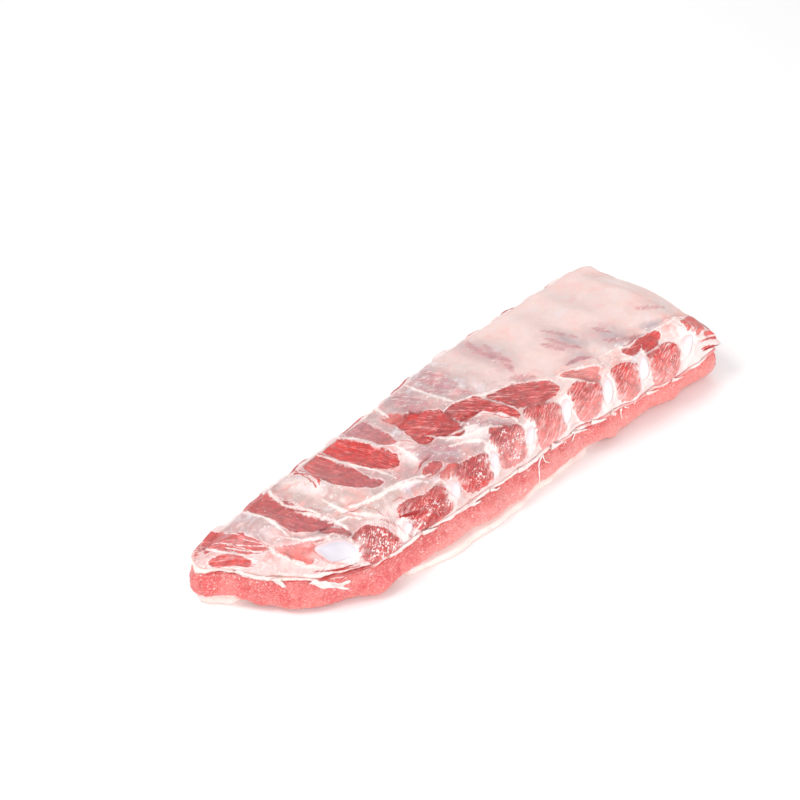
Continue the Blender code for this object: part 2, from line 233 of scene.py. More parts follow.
def movedInwards(u, v, height, depth):
    width = planPoint(u, np.ones_like(u), height)[1] - planPoint(u, 0 * u, height)[1]
    du, dv = depth / 370.0, 0.35 * np.tanh(depth / width / 0.35)
    return du + u * (1 - 2 * du), dv + v * (1 - 2 * dv)


def rimRow(u, v, height, out=0.0, bulge=0.0, rough=1.6, grain=9.0, depth=0.0):
    # one closed row of points round the rack
    x, y = planPoint(*movedInwards(u, v, height, depth), height)
    nx, ny = outward(*planPoint(u, v, height))
    side = (v < 0.001) | (v > 0.999)
    z = np.zeros_like(x) + height
    fade = 1 - np.clip(depth / rack["lip"], 0, 1)
    move = out + rough * fade * ripple(x, y, z, grain)
    move = move + np.where(side, bulge * (1 - overRibs(x, y)), 0.5 * bulge)
    return np.stack([x + nx * move, y + ny * move, z], 1)


def topHeight(x, y, v):
    height = rack["edgeHeight"] + rack["crown"] * np.sin(math.pi * np.clip(v * 1.1, 0, 1))
    roll = ease((x - rack["farX"] + rack["farRoll"]) / rack["farRoll"])
    height = height - rack["backDrop"] * ease((v - 0.35) / 0.65) * (1 - 0.4 * roll)
    height = height - rack["farDrop"] * roll * np.clip(np.cos(0.5 * math.pi * v), 0, 1) ** 0.5
    height = height - rack["tipDrop"] * nearDistance(x) ** 1.4
    inside = np.clip(np.sin(math.pi * v), 0, 1) ** 0.5
    lumps = rack["ridge"] * (overRibs(x, y) - 0.4) + 0.9 * ripple(x, y, 0 * x, 16.0)
    for atX, atY, long, wide, turn, high in relief.values():
        c, s = math.cos(math.radians(turn)), math.sin(math.radians(turn))
        a = ((x - atX) * c + (y - atY) * s) / long
        b = ((y - atY) * c - (x - atX) * s) / wide
        lumps = lumps + high * np.exp(-(a * a + b * b))
    return height + lumps * (0.35 + 0.65 * inside)


# What is painted on the rib layer, in the coordinates X and S. S is measured from the seam
# up the cut face and on across the top: height over the seam plus distance from the front edge.
def surfacePlace(points):
    x, y, z = points.T
    return x, (z - rack["seamTop"]) + (y - smoothEdge(rack["frontEdge"], x))


def smoothOutline(points, rounds=2):
    # cuts the corners of a closed outline
    p = np.array(points, float)
    for _ in range(rounds):
        q = np.roll(p, -1, 0)
        p = np.stack([0.75 * p + 0.25 * q, 0.25 * p + 0.75 * q], 1).reshape(-1, 2)
    return p


def lineDistance(x, s, a, b):
    dx, ds = b[0] - a[0], b[1] - a[1]
    t = np.clip(((x - a[0]) * dx + (s - a[1]) * ds) / (dx * dx + ds * ds + 1e-9), 0, 1)
    return np.hypot(x - a[0] - t * dx, s - a[1] - t * ds), t


def insideDistance(x, s, outline, reach=9.0):
    # distance to the outline, positive inside it, and -reach far outside
    p = smoothOutline(outline)
    found = np.full(x.shape, -reach)
    lo, hi = p.min(0) - reach, p.max(0) + reach
    near = (x > lo[0]) & (x < hi[0]) & (s > lo[1]) & (s < hi[1])
    if not near.any():
        return found
    px, ps = x[near], s[near]
    distance = np.full(px.shape, reach)
    inside = np.zeros(px.shape, bool)
    for a, b in zip(p, np.roll(p, -1, 0)):
        distance = np.minimum(distance, lineDistance(px, ps, a, b)[0])
        crosses = (a[1] > ps) != (b[1] > ps)
        inside ^= crosses & (px < (b[0] - a[0]) * (ps - a[1]) / (b[1] - a[1] + 1e-12) + a[0])
    found[near] = np.where(inside, distance, -distance)
    return found


def strokeDistance(x, s, line, reach=9.0):
    # distance to a line of points, and how far along it the nearest point is, 0 to 1
    best, place = np.full(x.shape, reach), np.zeros(x.shape)
    for k, (a, b) in enumerate(zip(line[:-1], line[1:])):
        d, t = lineDistance(x, s, a, b)
        place = np.where(d < best, (k + t) / (len(line) - 1), place)
        best = np.minimum(best, d)
    return best, place


# Muscles: outline, colour, a second colour and the direction in which it takes over, the
# direction of the fibres, how much membrane veils it, glints, and how deep it lies
# their glints are painted highlights
muscles = {
    "tip": dict(colour="duskyMuscle", fibres=22, lines=0.2, glints=0.1, deep=0.3, outline=[(-192, 10),
        (-192, 44), (-170, 48), (-161, 50), (-156, 44), (-153, 32), (-147, 26), (-153, 20), (-160, 15),
        (-170, 14), (-180, 10)]),
    "tipRed": dict(colour="brightMuscle", fibres=10, glints=0.5, deep=-0.9, outline=[(-175, 3), (-170, 9),
        (-163, 13), (-159, 11), (-159, 4), (-164, 0), (-173, -1)]),
    "first": dict(colour="duskyMuscle", second="mauveMuscle", toward=-80, fibres=-76, lines=0.3,
        veil=0.04, glints=0.35, deep=1.1, outline=[(-139, 70), (-140, 88), (-126, 96), (-119, 92),
        (-121, 66), (-117, 51), (-110, 43), (-117, 37), (-131, 38), (-136, 42), (-137, 57)]),
    "folds": dict(colour="mauveMuscle", second="darkMuscle", toward=-40, fibres=-20, veil=0.2, deep=1.0,
        outline=[(-126, 37), (-119, 38), (-113, 34), (-108, 27), (-112, 24), (-118, 30)]),
    "lump": dict(colour="lumpRed", second="pinkMuscle", toward=120, fibres=-60, veil=0.04, glints=0.3,
        deep=-1.4, outline=[(-148, 20), (-145, 27), (-138, 27), (-130, 31), (-127, 26), (-133, 17),
        (-139, 8), (-145, 13)]),
    "redArch": dict(colour="lumpRed", fibres=-40, veil=0.25, glints=0.2, deep=-0.3, outline=[(-130, 29),
        (-122, 30), (-115, 25), (-112, 17), (-114, 15), (-118, 21), (-124, 26)]),
    "second": dict(colour="duskyMuscle", second="mauveMuscle", toward=-75, fibres=-80, lines=0.3,
        veil=0.04, glints=0.2, deep=1.2, outline=[(-87, 98), (-75, 96), (-75, 78), (-76, 60), (-70, 47),
        (-79, 50), (-93, 61), (-96, 72), (-91, 86)]),
    "bright": dict(colour="brightMuscle", second="redMuscle", toward=-60, fibres=-72, glints=0.25,
        deep=1.5, outline=[(-73, 97), (-60, 97), (-54, 86), (-53, 75), (-51, 61), (-54, 54), (-60, 54),
        (-71, 65), (-73, 77)]),
    "fourth": dict(colour="duskyMuscle", second="streakRed", toward=80, fibres=-80, veil=0.12, glints=0.3,
        deep=1.2, outline=[(-52, 106), (-38, 106), (-37, 88), (-40, 73), (-45, 69), (-51, 73),
        (-53, 84)]),
    "torn": dict(colour="redMuscle", second="darkMuscle", toward=-40, fibres=-50, lines=0.7, grow=1.5,
        glints=0.45, deep=1.3, outline=[(-28, 84), (-18, 84), (-13, 79), (-4, 71), (-6, 61), (-5, 55),
        (-10, 47), (-15, 53), (-20, 58), (-30, 57), (-33, 61), (-29, 73)]),
    "tornEnd": dict(colour="lumpRed", fibres=-60, veil=0.2, glints=0.2, deep=0.6, outline=[(-31, 88),
        (-24, 90), (-18, 85), (-20, 80), (-28, 78)]),
    "tornFold": dict(colour="brightMuscle", second="redMuscle", toward=90, fibres=-30, grow=1.3,
        glints=0.4, deep=-0.6, outline=[(-33, 62), (-30, 57), (-20, 57), (-14, 52), (-10, 47), (-8, 51),
        (-13, 57), (-19, 62), (-28, 63)]),
    "front": dict(colour="darkMuscle", second="redMuscle", toward=-60, fibres=-42, lines=0.8, grow=2.4,
        glints=0.25, deep=0.2, outline=[(-2, 70), (4, 71), (12, 69), (19, 64), (22, 58), (25, 52),
        (30, 44), (28, 36), (25, 36), (22, 43), (18, 51), (12, 55), (5, 55), (-1, 57)]),
    "frontFar": dict(colour="darkMuscle", second="duskyMuscle", toward=-20, fibres=-35, lines=0.8,
        grow=3.0, glints=0.2, deep=0.2, outline=[(25, 61), (33, 61), (47, 57), (58, 48), (65, 41),
        (60, 34), (52, 34), (46, 38), (37, 42), (33, 44), (29, 52)]),
    "upper": dict(colour="lumpRed", second="pinkMuscle", toward=-40, fibres=-30, lines=0.8, veil=0.15,
        glints=0.1, deep=0.3, outline=[(72, 46), (79, 47), (88, 43), (98, 40), (97, 36), (93, 34),
        (98, 27), (91, 28), (83, 34), (78, 40)]),
    "darkStrip": dict(colour="darkMuscle", second="brightMuscle", toward=-10, fibres=10, lines=0.6,
        grow=1.6, veil=0.05, glints=0.3, deep=0.3, outline=[(120, 41), (129, 44), (140, 45), (152, 43),
        (152, 38), (146, 32), (138, 27), (134, 27), (134, 33), (127, 34)]),
    "far": dict(colour="brightMuscle", second="lumpRed", toward=-150, fibres=40, lines=0.3, grow=1.8,
        glints=0.35, deep=-0.5, outline=[(172, 38), (180, 37), (189, 34), (188, 29), (183, 24), (175, 21),
        (171, 29)]),
    "farCorner": dict(colour="brightMuscle", fibres=0, grow=1.4, glints=0.2, deep=0.0, outline=[(179, 19),
        (190, 18), (190, 9), (181, 11)]),
    "oval": dict(colour="duskyMuscle", fibres=20, veil=0.1, glints=0.1, deep=0.5, outline=[(-50, 39),
        (-46, 42), (-38, 42), (-34, 38), (-40, 33), (-49, 34)]),
    "blockEight": dict(colour="blockMuscle", second="redMuscle", toward=-20, fibres=50, lines=0.7,
        grow=1.4, glints=1.0, deep=-1.0, outline=[(-112, 20), (-107, 25), (-99, 27), (-93, 21), (-89, 10),
        (-84, 1), (-92, -2), (-103, -2), (-110, 2), (-113, 11)]),
    "blockSeven": dict(colour="redMuscle", second="darkMuscle", toward=100, fibres=30, lines=0.7,
        grow=1.4, glints=0.85, deep=-0.8, outline=[(-76, 22), (-72, 27), (-62, 24), (-56, 22), (-48, 24),
        (-43, 21), (-42, 12), (-46, 5), (-60, 2), (-70, 2), (-75, 12)]),
    "brightLump": dict(colour="brightMuscle", fibres=40, glints=0.4, deep=-1.2, outline=[(-67, 5),
        (-60, 10), (-57, 8), (-58, 3), (-66, 0)]),
    "sideSix": dict(colour="lumpRed", fibres=30, veil=0.1, glints=0.3, deep=-0.2, outline=[(-41, 29),
        (-33, 34), (-24, 31), (-30, 25), (-39, 23)]),
    "blockSix": dict(colour="blockMuscle", second="redMuscle", toward=-100, fibres=50, lines=0.7,
        grow=1.4, glints=1.0, deep=-1.0, outline=[(-31, 22), (-27, 29), (-16, 27), (-6, 25), (-6, 17),
        (-8, 10), (-15, 6), (-27, 5), (-32, 12)]),
    "blockFive": dict(colour="blockMuscle", second="pinkMuscle", toward=-75, fibres=42, lines=0.7,
        grow=1.4, glints=0.9, deep=-1.0, outline=[(2, 33), (9, 36), (20, 30), (26, 27), (23, 16), (15, 5),
        (3, 7), (-2, 10), (2, 18), (3, 27)]),
    "fiveTop": dict(colour="redMuscle", fibres=0, veil=0.1, glints=0.1, deep=0.3, outline=[(4, 38),
        (11, 40), (16, 37), (15, 33), (7, 34)]),
    "blockFour": dict(colour="redMuscle", second="pinkMuscle", toward=-75, fibres=38, lines=0.92,
        grow=2.2, glints=0.5, deep=-0.9, outline=[(33, 33), (37, 37), (48, 31), (59, 22), (56, 12),
        (47, 4), (34, 3), (31, 6), (36, 16), (35, 26)]),
    "blockThree": dict(colour="redMuscle", second="pinkMuscle", toward=-75, fibres=36, lines=0.92,
        grow=2.2, glints=0.4, deep=-0.9, outline=[(69, 30), (78, 35), (92, 26), (88, 16), (79, 7),
        (70, 4), (66, 8), (69, 15), (66, 21)]),
    "blockTwo": dict(colour="brightMuscle", second="pinkMuscle", toward=-75, fibres=36, lines=1.0,
        grow=2.2, glints=0.4, deep=-0.9, outline=[(103, 29), (114, 31), (125, 24), (121, 13), (111, 5),
        (99, 4), (102, 14), (106, 21)]),
    "blockOne": dict(colour="brightMuscle", second="pinkMuscle", toward=-90, fibres=36, lines=1.0,
        grow=2.2, glints=0.6, deep=-0.9, outline=[(138, 28), (146, 30), (154, 27), (157, 19), (151, 10),
        (138, 1), (129, 1), (132, 13), (136, 21)]),
}

# Muscle that shines through the membrane: line, half width at the middle, veil
streaks = {
    "farOne": ([(63, 108), (59, 96), (57, 87), (58, 79), (55, 68)], 1.6, 0.45),
    "farOneB": ([(66, 98), (61, 88), (60, 76)], 1.2, 0.6),
    "midOne": ([(13, 108), (17, 94), (17, 82), (20, 72)], 1.8, 0.45),
    "midTwo": ([(21, 110), (23, 95), (21, 82)], 1.6, 0.6),
    "midThree": ([(6, 106), (8, 92), (14, 80)], 1.4, 0.55),
    "veiledA": ([(-12, 106), (-8, 95), (-13, 82)], 3.4, 0.42),
    "veiledB": ([(-4, 104), (-2, 92), (-6, 80)], 1.8, 0.62),
    "archA": ([(92, 80), (96, 67), (103, 60)], 1.2, 0.6),
    "archB": ([(97, 88), (109, 70)], 1.4, 0.62),
    "archC": ([(87, 77), (92, 65)], 1.3, 0.62),
    "lowA": ([(50, 63), (60, 55)], 1.6, 0.6),
    "lowB": ([(123, 70), (128, 61)], 1.2, 0.6),
    "lowC": ([(120, 56), (130, 49)], 1.2, 0.5),
    "lowD": ([(130, 50), (142, 45)], 1.3, 0.55),
    "farTwo": ([(160, 67), (174, 56)], 1.6, 0.7),
    "greyD": ([(-45, 60), (-37, 52), (-31, 41)], 1.0, 0.55),
    "greyE": ([(-6, 53), (4, 50), (10, 40), (20, 34)], 1.2, 0.7),
    "dimple": ([(84, 52), (93, 53), (101, 49)], 1.9, 0.25),
    "tipStripe": ([(174, 14), (180, 12), (187, 8)], 1.0, 0.1),
    "tipStripeB": ([(172, 7), (177, 6), (183, 2)], 1.3, 0.05),
    "vesselA": ([(-99, 88), (-95, 81), (-97, 76), (-100, 72)], 0.8, 0.0),
    "vesselB": ([(-97, 92), (-94, 84), (-95, 76), (-96, 68)], 0.5, 0.1),
    "spotA": ([(-125, 47), (-122, 45)], 0.8, 0.0),
    "spotB": ([(-104, 45), (-98, 40)], 0.4, 0.3),
    "creaseRed": ([(-52, 42), (-44, 46), (-36, 47)], 0.5, 0.15),
    "greyA": ([(-38, 57), (-28, 50), (-19, 41)], 2.4, 0.62),
    "greyB": ([(-42, 50), (-33, 44), (-25, 34)], 2.6, 0.6),
    "greyC": ([(-3, 52), (8, 47), (17, 36)], 2.2, 0.75),
}

# White tissue over the muscle: line, half width
whiteLines = {
    "split": ([(23, 62), (26, 54), (31, 44), (31, 36)], 0.7),
    "oneA": ([(-168, 21), (-160, 23), (-151, 26)], 0.45),
    "oneB": ([(-164, 17), (-158, 18), (-152, 20)], 0.5),
    "oneTop": ([(127, 27), (134, 29), (144, 29), (152, 32)], 0.9),
    "threeSplit": ([(99, 30), (96, 24), (101, 17)], 0.8),
    "farRing": ([(170, 22), (175, 19), (182, 22)], 0.6),
}

# Ridges of white tissue: line, half width, height
ridges = {
    "nearBand": ([(-178, 14), (-173, 16), (-168, 13), (-161, 13), (-154, 6)], 1.1, 0.5),
    "nearWisps": ([(-156, 40), (-155, 31), (-150, 28), (-146, 22)], 0.7, 0.3),
    "nearWispsB": ([(-164, 21), (-158, 20), (-153, 18)], 0.5, 0.2),
    "sheetEdge": ([(-137, 69), (-138, 59), (-139, 47), (-138, 37)], 0.8, 0.5),
    "sheetTop": ([(-142, 78), (-139, 70), (-137, 61)], 1.0, 0.3),
    "firstEdge": ([(-118, 82), (-123, 66), (-118, 56), (-113, 45)], 1.0, 0.7),
    "overLump": ([(-141, 36), (-134, 31), (-127, 31), (-119, 32), (-111, 24)], 1.0, 0.6),
    "underLump": ([(-150, 26), (-145, 15), (-139, 8), (-132, 5)], 1.2, 0.6),
    "ragged": ([(-116, 41), (-105, 40), (-99, 33)], 1.0, 0.7),
    "creamRoll": ([(-100, 45), (-86, 41), (-72, 41), (-57, 36), (-49, 30)], 1.6, 0.8),
    "brightEdge": ([(-56, 94), (-53, 82), (-53, 75), (-46, 66)], 0.9, 0.8),
    "secondEdge": ([(-77, 94), (-75, 82), (-74, 71), (-67, 57), (-64, 45)], 0.9, 0.8),
    "pearlEdge": ([(-47, 68), (-46, 56), (-45, 47)], 0.9, 0.7),
    "moundEdge": ([(-69, 42), (-57, 39), (-46, 35)], 0.9, 0.6),
    "tornTop": ([(-33, 101), (-23, 100), (-25, 89)], 1.2, 0.8),
    "moundNear": ([(-123, 58), (-117, 49), (-112, 42), (-110, 30)], 1.6, 0.9),
    "moundFoot": ([(-107, 61), (-105, 47), (-98, 36), (-88, 28), (-82, 19)], 1.1, 0.8),
    "overSeven": ([(-50, 25), (-44, 27), (-37, 25)], 0.8, 0.5),
    "byEight": ([(-80, -3), (-73, 2), (-67, 6), (-57, 9)], 0.6, 0.4),
    "sheetOverTorn": ([(6, 108), (6, 94), (5, 82), (9, 72), (20, 68)], 1.0, 0.5),
    "frontTop": ([(-4, 71), (6, 72), (16, 69), (24, 65), (34, 62), (46, 59), (58, 51), (70, 44)], 0.8, 0.5),
    "frontFoot": ([(3, 53), (14, 53), (21, 44), (25, 33), (28, 26)], 1.0, 0.7),
    "crumbEdge": ([(-26, 62), (-20, 52), (-12, 46), (-6, 48)], 0.9, 0.7),
    "crumbs": ([(-22, 46), (-13, 42), (-4, 36), (0, 29)], 1.2, 0.8),
    "crumbsB": ([(-16, 53), (-7, 51), (1, 47)], 1.1, 0.9),
    "crumbsC": ([(-9, 45), (0, 43), (9, 40), (14, 36)], 1.3, 1.0),
    "crumbsD": ([(-20, 50), (-12, 47)], 1.0, 0.8),
    "byFive": ([(-4, 22), (-4, 28), (3, 33)], 0.8, 0.5),
    "upperSplit": ([(71, 47), (77, 37), (90, 27)], 0.8, 0.4),
    "upperRim": ([(72, 48), (84, 47), (97, 42), (101, 35)], 0.7, 0.5),
    "stripRim": ([(106, 46), (119, 45), (127, 42), (139, 45), (153, 44), (161, 43)], 0.8, 0.5),
    "cornerRim": ([(159, 43), (171, 44), (183, 38)], 0.8, 0.4),
    "twoCrumbs": ([(108, 38), (121, 33), (130, 31)], 1.0, 0.6),
    "twoColumn": ([(136, 39), (131, 27), (121, 19)], 0.8, 0.4),
    "cornerLine": ([(167, 30), (172, 18), (186, 11)], 1.0, 0.4),
    "fourColumn": ([(67, 30), (65, 16), (65, 4)], 0.8, 0.3),
}

# Fine red lines: line, half width, strength
redLines = {
    "vessel": ([(-96, 90), (-99, 80), (-103, 71)], 0.6, 0.9),
    "pearlSpots": ([(-40, 69), (-36, 63)], 0.8, 0.8),
    "brightTip": ([(-54, 68), (-49, 59)], 1.0, 0.6),
    "moundSpot": ([(-116, 58), (-113, 53)], 0.6, 0.9),
    "byRibEight": ([(-88, 25), (-82, 12), (-79, 2), (-75, -5)], 1.0, 0.7),
    "arch": ([(-129, 30), (-119, 26), (-113, 17)], 0.9, 0.6),
    "foldNear": ([(-115, 46), (-113, 36), (-110, 25)], 0.8, 0.6),
    "moundLine": ([(-109, 54), (-103, 49), (-96, 47)], 0.4, 0.8),
    "spots": ([(-92, 38), (-87, 32), (-85, 23), (-82, 19)], 0.6, 0.7),
    "overSix": ([(-42, 31), (-36, 32), (-28, 30), (-16, 26)], 1.2, 0.6),
    "overSeven": ([(-76, 32), (-70, 31), (-65, 25)], 0.9, 0.7),
    "bySeven": ([(-46, 21), (-41, 24), (-37, 21)], 0.6, 0.5),
    "seamNear": ([(-137, 3), (-127, 1), (-115, 0)], 0.9, 0.9),
    "seamMid": ([(-33, 0), (-26, -1)], 0.7, 0.8),
    "seamFar": ([(60, 0), (70, -1)], 0.8, 0.9),
}

# Ground between the muscles: outline, colour, softness of its edge
grounds = {
    "nearSheet": ([(-150, 66), (-138, 74), (-128, 66), (-134, 44), (-140, 32), (-148, 32)], "membrane", 6),
    "nearFat": ([(-162, 10), (-152, 20), (-141, 12), (-128, 8), (-116, 2), (-130, -4), (-158, -4)],
                "whiteFat", 4),
    "fatMound": ([(-118, 84), (-98, 90), (-93, 72), (-84, 50), (-70, 42), (-60, 40), (-70, 24), (-86, 22),
                  (-106, 36), (-116, 52)], "creamFat", 8),
    "fatPearl": ([(-112, 84), (-100, 86), (-98, 68), (-108, 62)], "whiteFat", 5),
    "bluePatch": ([(-68, 36), (-60, 38), (-54, 30), (-62, 26)], "bluishWhite", 4),
    "pearl": ([(-52, 62), (-46, 72), (-36, 72), (-30, 60), (-36, 52), (-50, 44)], "whiteFat", 6),
    "greyBand": ([(-40, 58), (-26, 52), (-14, 42), (-22, 30), (-36, 32), (-45, 45)], "greyMembrane", 6),
    "crumbs": ([(-20, 50), (-8, 54), (4, 53), (12, 50), (18, 38), (4, 36), (-6, 38)], "whiteFat", 5),
    "greyPatch": ([(0, 54), (10, 49), (20, 36), (6, 42)], "greyMembrane", 5),
    "nineSide": ([(-126, 22), (-116, 22), (-110, 16), (-110, 8), (-118, 5), (-126, 8)], "boneWhite", 2),
    # painted shade: grey in the far hollow and in the dimple on the next two lines
    "hollowShade": ([(148, 52), (156, 52), (164, 47), (158, 44), (150, 47)], "hollowShadeGrey", 5),
    "dimpleShadeGrey": ([(82, 56), (96, 57), (106, 50), (92, 47)], "greyMembrane", 6),
    "farGrey": ([(94, 84), (104, 80), (112, 62), (100, 56), (90, 66)], "greyMembrane", 12),
    "midGrey": ([(52, 112), (66, 108), (64, 80), (54, 66)], "greyMembrane", 12),
    "sideGrey": ([(8, 112), (26, 110), (26, 84), (18, 70), (8, 84)], "greyMembrane", 12),
    "veilGrey": ([(-18, 112), (0, 112), (0, 82), (-16, 80)], "greyMembrane", 8),
    "streakGrey": ([(116, 72), (132, 66), (140, 44), (118, 48)], "greyMembrane", 12),
    "farWhite": ([(148, 34), (158, 44), (170, 46), (172, 30), (170, 16), (160, 24)], "whiteFat", 5),
    "farLow": ([(158, 14), (172, 8), (190, 4), (190, -6), (150, -6)], "fascia", 5),
}

# Grooves in the rib layer: line, half width, depth
grooves = {
    "slit": ([(-77, 17.5), (-70, 15.5), (-63, 12.5)], 1.5, 1.7),
    "underNine": ([(-138, 2.5), (-126, 1.5), (-116, 2.5)], 1.2, 1.2),
    "tornCrease": ([(-31, 64), (-22, 63), (-14, 58), (-8, 53)], 0.8, 0.7),
    "fold": ([(-4, 57), (2, 57), (9, 56), (14, 55)], 0.8, 0.9),
    "foldNear": ([(-126, 35), (-117, 33), (-109, 26)], 1.0, 0.9),
    "creamFold": ([(-108, 45), (-100, 42), (-92, 40)], 0.8, 0.9),
    "creamFoldB": ([(-52, 42), (-44, 46), (-36, 47)], 0.7, 0.8),
    "upperEdge": ([(70, 49), (80, 49), (90, 46), (99, 42)], 0.8, 0.7),
    "stripEdge": ([(119, 44), (130, 46), (142, 47), (152, 46)], 0.7, 0.6),
    "smallGap": ([(56, 2), (62, 3), (68, 2)], 0.9, 1.0),
    "ribRed": ([(164, 20), (166, 22)], 0.6, 0.8),
    "farNotch": ([(172, 5), (180, 3), (188, -1)], 1.0, 1.8),
    "seven": ([(-60, 24), (-52, 22)], 0.8, 0.7),
}


def plain(count, colour):
    # one colour for all points
    return np.tile(linear(colour), (count, 1))


def blend(total, weight, colour):
    # paints a colour over the colours of the points
    return total + weight[:, None] * (linear(colour) - total)


def paintRibLayer(points, sideBack, sideFar):
    # colours, fibres and relief of the rib layer at its points
    x, s = surfacePlace(points)
    z = points[:, 2]
    y = points[:, 1]
    wobble = 1.3 * clouds(x, y, z, 7.0, 3) + 0.5 * cloud(x, y, z, 2.0, 9)
    drift = 1.3 * clouds(x, y, z, 7.0, 13) + 0.5 * cloud(x, y, z, 2.0, 19)
    wx, ws = x + wobble, s + drift
    count = len(x)
    side = np.maximum(sideBack, sideFar)
    shown = np.where(side > 0.5, 0, 1)

    def stroke(line, share):
        # distance to a line, with this share of the wobble, and the place along it
        return strokeDistance(wx * share + x * (1 - share), ws * share + s * (1 - share), line)

    made = {"muscle": np.full(count, -9.0), "relief": np.zeros(count)}
    # ground
    far = ease((x + 20) / 90)
    ground = plain(count, "membrane") * (1 - far)[:, None] + linear("farMembrane") * far[:, None]
    for outline, colour, soft in grounds.values():
        ground = blend(ground, ease(0.5 + insideDistance(wx, ws, outline, 14) / soft / 1.4) * 0.9, colour)
    face = 1 - ease((s - 26) / 8)
    face = np.maximum(face, side)
    ground = blend(ground, 0.8 * face, "whiteFat")
    seam = (1 - ease((z - 25.6 - wobble) / 2.2)) * (1 - 0.5 * far)
    ground = blend(ground, seam, "fascia")
    # painted shade: a warm pink on the lowest rows, where the rib layer meets the seam
    ground = blend(ground, 0.7 * (1 - ease((z - 24.9) / 0.9)), "pinkMuscle")
    made["ground"] = ground
    nearSide = 1 - ease((x - 5) / 45)
    patches = clouds(x, y, z, 16, 17)
    film = 0.05 * ease((s - 40) / 10) + nearSide * (0.15 + 0.28 * patches)
    film = np.maximum(film, (0.34 - 0.2 * far) * (1 - ease((s - 30) / 12)) * ease((z - 25.5) / 3))
    for name in ("fatMound", "fatPearl", "pearl", "nearSheet", "farWhite", "farLow", "crumbs"):
        outline, colour, soft = grounds[name]
        film = film * (1 - 0.85 * ease(0.5 + insideDistance(wx, ws, outline, 14) / soft))
    made["film"] = np.clip(film, 0, 1)
    # muscles
    weights = np.full(count, 1e-6)
    fray = np.full(count, 1e-6)
    lines = np.zeros(count)
    flesh = plain(count, "redMuscle") * 1e-6
    veil = np.zeros(count)
    glints = np.zeros(count)
    fibre = np.zeros((count, 2))
    lowered = ws + 2.6 * (1 - ease(s / 15)) * ease((x + 115) / 10)
    for number, m in enumerate(muscles.values()):
        d = insideDistance(wx, lowered, m["outline"]) + m.get("grow", 0.5)
        d = np.where((sideBack + sideFar > 0.5) & (x > -118), -9.0, d)
        near = np.exp(np.clip(d, -9, 2) * 2.2)
        c, sn = math.cos(math.radians(m["fibres"])), math.sin(math.radians(m["fibres"]))
        tint = plain(count, m["colour"])
        if "second" in m:
            px, ps = np.array(m["outline"], float).T
            tx, ts = math.cos(math.radians(m["toward"])), math.sin(math.radians(m["toward"]))
            along = (x - px.mean()) * tx + (s - ps.mean()) * ts
            reach = np.abs((px - px.mean()) * tx + (ps - ps.mean()) * ts).max()
            tint = blend(tint, ease(0.45 + 0.6 * along / reach + 0.12 * wobble), m["second"])
        flesh += near[:, None] * tint
        weights += near
        veil += near * m.get("veil", 0.0)
        blob = ease(0.25 + d / 6) * (0.75 + 0.5 * cloud(x, s, 0 * x, 5.0, 43 + number))
        # painted highlights: how many wet glints each muscle gets, most in its middle
        glints += near * m.get("glints", 0.0) * blob
        lines += near * m.get("lines", 0.45)
        fray += near * m.get("fray", 0.8)
        mx, ms = np.mean(m["outline"], 0)
        fibre[:, 0] += near * ((x - mx) * c + (s - ms) * sn + 37 * number)
        fibre[:, 1] += near * ((s - ms) * c - (x - mx) * sn + 53 * number)
        made["muscle"] = np.maximum(made["muscle"], d)
        made["relief"] -= m["deep"] * ease((d + 0.4) / (1.2 if m["deep"] > 0 else 3.5))
    # streaks under the membrane
    rimmed = np.maximum(side, ease((y - smoothEdge(rack["backEdge"], x) + 9) / 5))
    for line, half, thin in streaks.values():
        d, place = stroke(line, 0.6)
        shape = np.sin(math.pi * (0.12 + 0.76 * place)) ** 0.7
        inside = np.where(rimmed > 0.5, -9.0, half * shape - d)
        if thin > 0.3:
            soft = 0.85 * (1 - 0.5 * thin) * np.exp(-((d / (2.2 * half * shape + 0.5)) ** 2)) * (1 - rimmed)
            made["film"] = np.maximum(made["film"], soft)
        near = np.exp(np.clip(inside, -9, 2) * 2.6)
        flesh += near[:, None] * linear("streakRed" if thin > 0.2 else "brightMuscle")
        weights += near
        veil += near * thin
        fray += near * 0.55
        dx, ds = line[-1][0] - line[0][0], line[-1][1] - line[0][1]
        comb = math.atan2(ds, dx) + 1.0
        c, sn = math.cos(comb), math.sin(comb)
        fibre[:, 0] += near * ((x - line[0][0]) * c + (s - line[0][1]) * sn)
        fibre[:, 1] += near * ((s - line[0][1]) * c - (x - line[0][0]) * sn)
        if thin <= 0.3:
            made["muscle"] = np.maximum(made["muscle"], inside)
    # the back edge and the far end are cut through the same muscles
    sideInside = sideBlocks(points, sideBack, sideFar)
    near = np.exp(np.clip(sideInside, -9, 2) * 2.2)
    tint = blend(plain(count, "redMuscle"), ease(0.5 + 0.5 * drift), "darkMuscle")
    tint = blend(tint, ease((31 - z) / 8), "pinkMuscle")
    flesh += near[:, None] * tint
    weights += near
    glints += near * 0.6
    fibre[:, 0] += near * (0.6 * x + 0.6 * y + 0.5 * z)
    fibre[:, 1] += near * (z - 0.5 * x - 0.5 * y)
    made["muscle"] = np.maximum(made["muscle"], sideInside)
    made["relief"] += 0.8 * ease((sideInside + 0.4) / 3.0)
    made["flesh"] = flesh / weights[:, None]
    made["veil"] = veil / weights
    made["glints"] = np.clip(glints / weights, 0, 1)
    made["lines"] = np.clip(lines / weights, 0, 1)
    made["fray"] = np.clip(fray / weights, 0, 1)
    weights += 2e-6
    fibre[:, 0] += 2e-6 * (0.35 * x + 0.94 * s)
    fibre[:, 1] += 2e-6 * (0.35 * s - 0.94 * x)
    fibre /= (weights - 1e-6)[:, None]
    made["fibre"] = np.stack([fibre[:, 0], fibre[:, 1], 0 * x], 1)
    # white tissue drawn over the muscles
    for line, half in whiteLines.values():
        d, _ = stroke(line, 0.5)
        made["muscle"] = np.minimum(made["muscle"], (d - half) * 1.2)
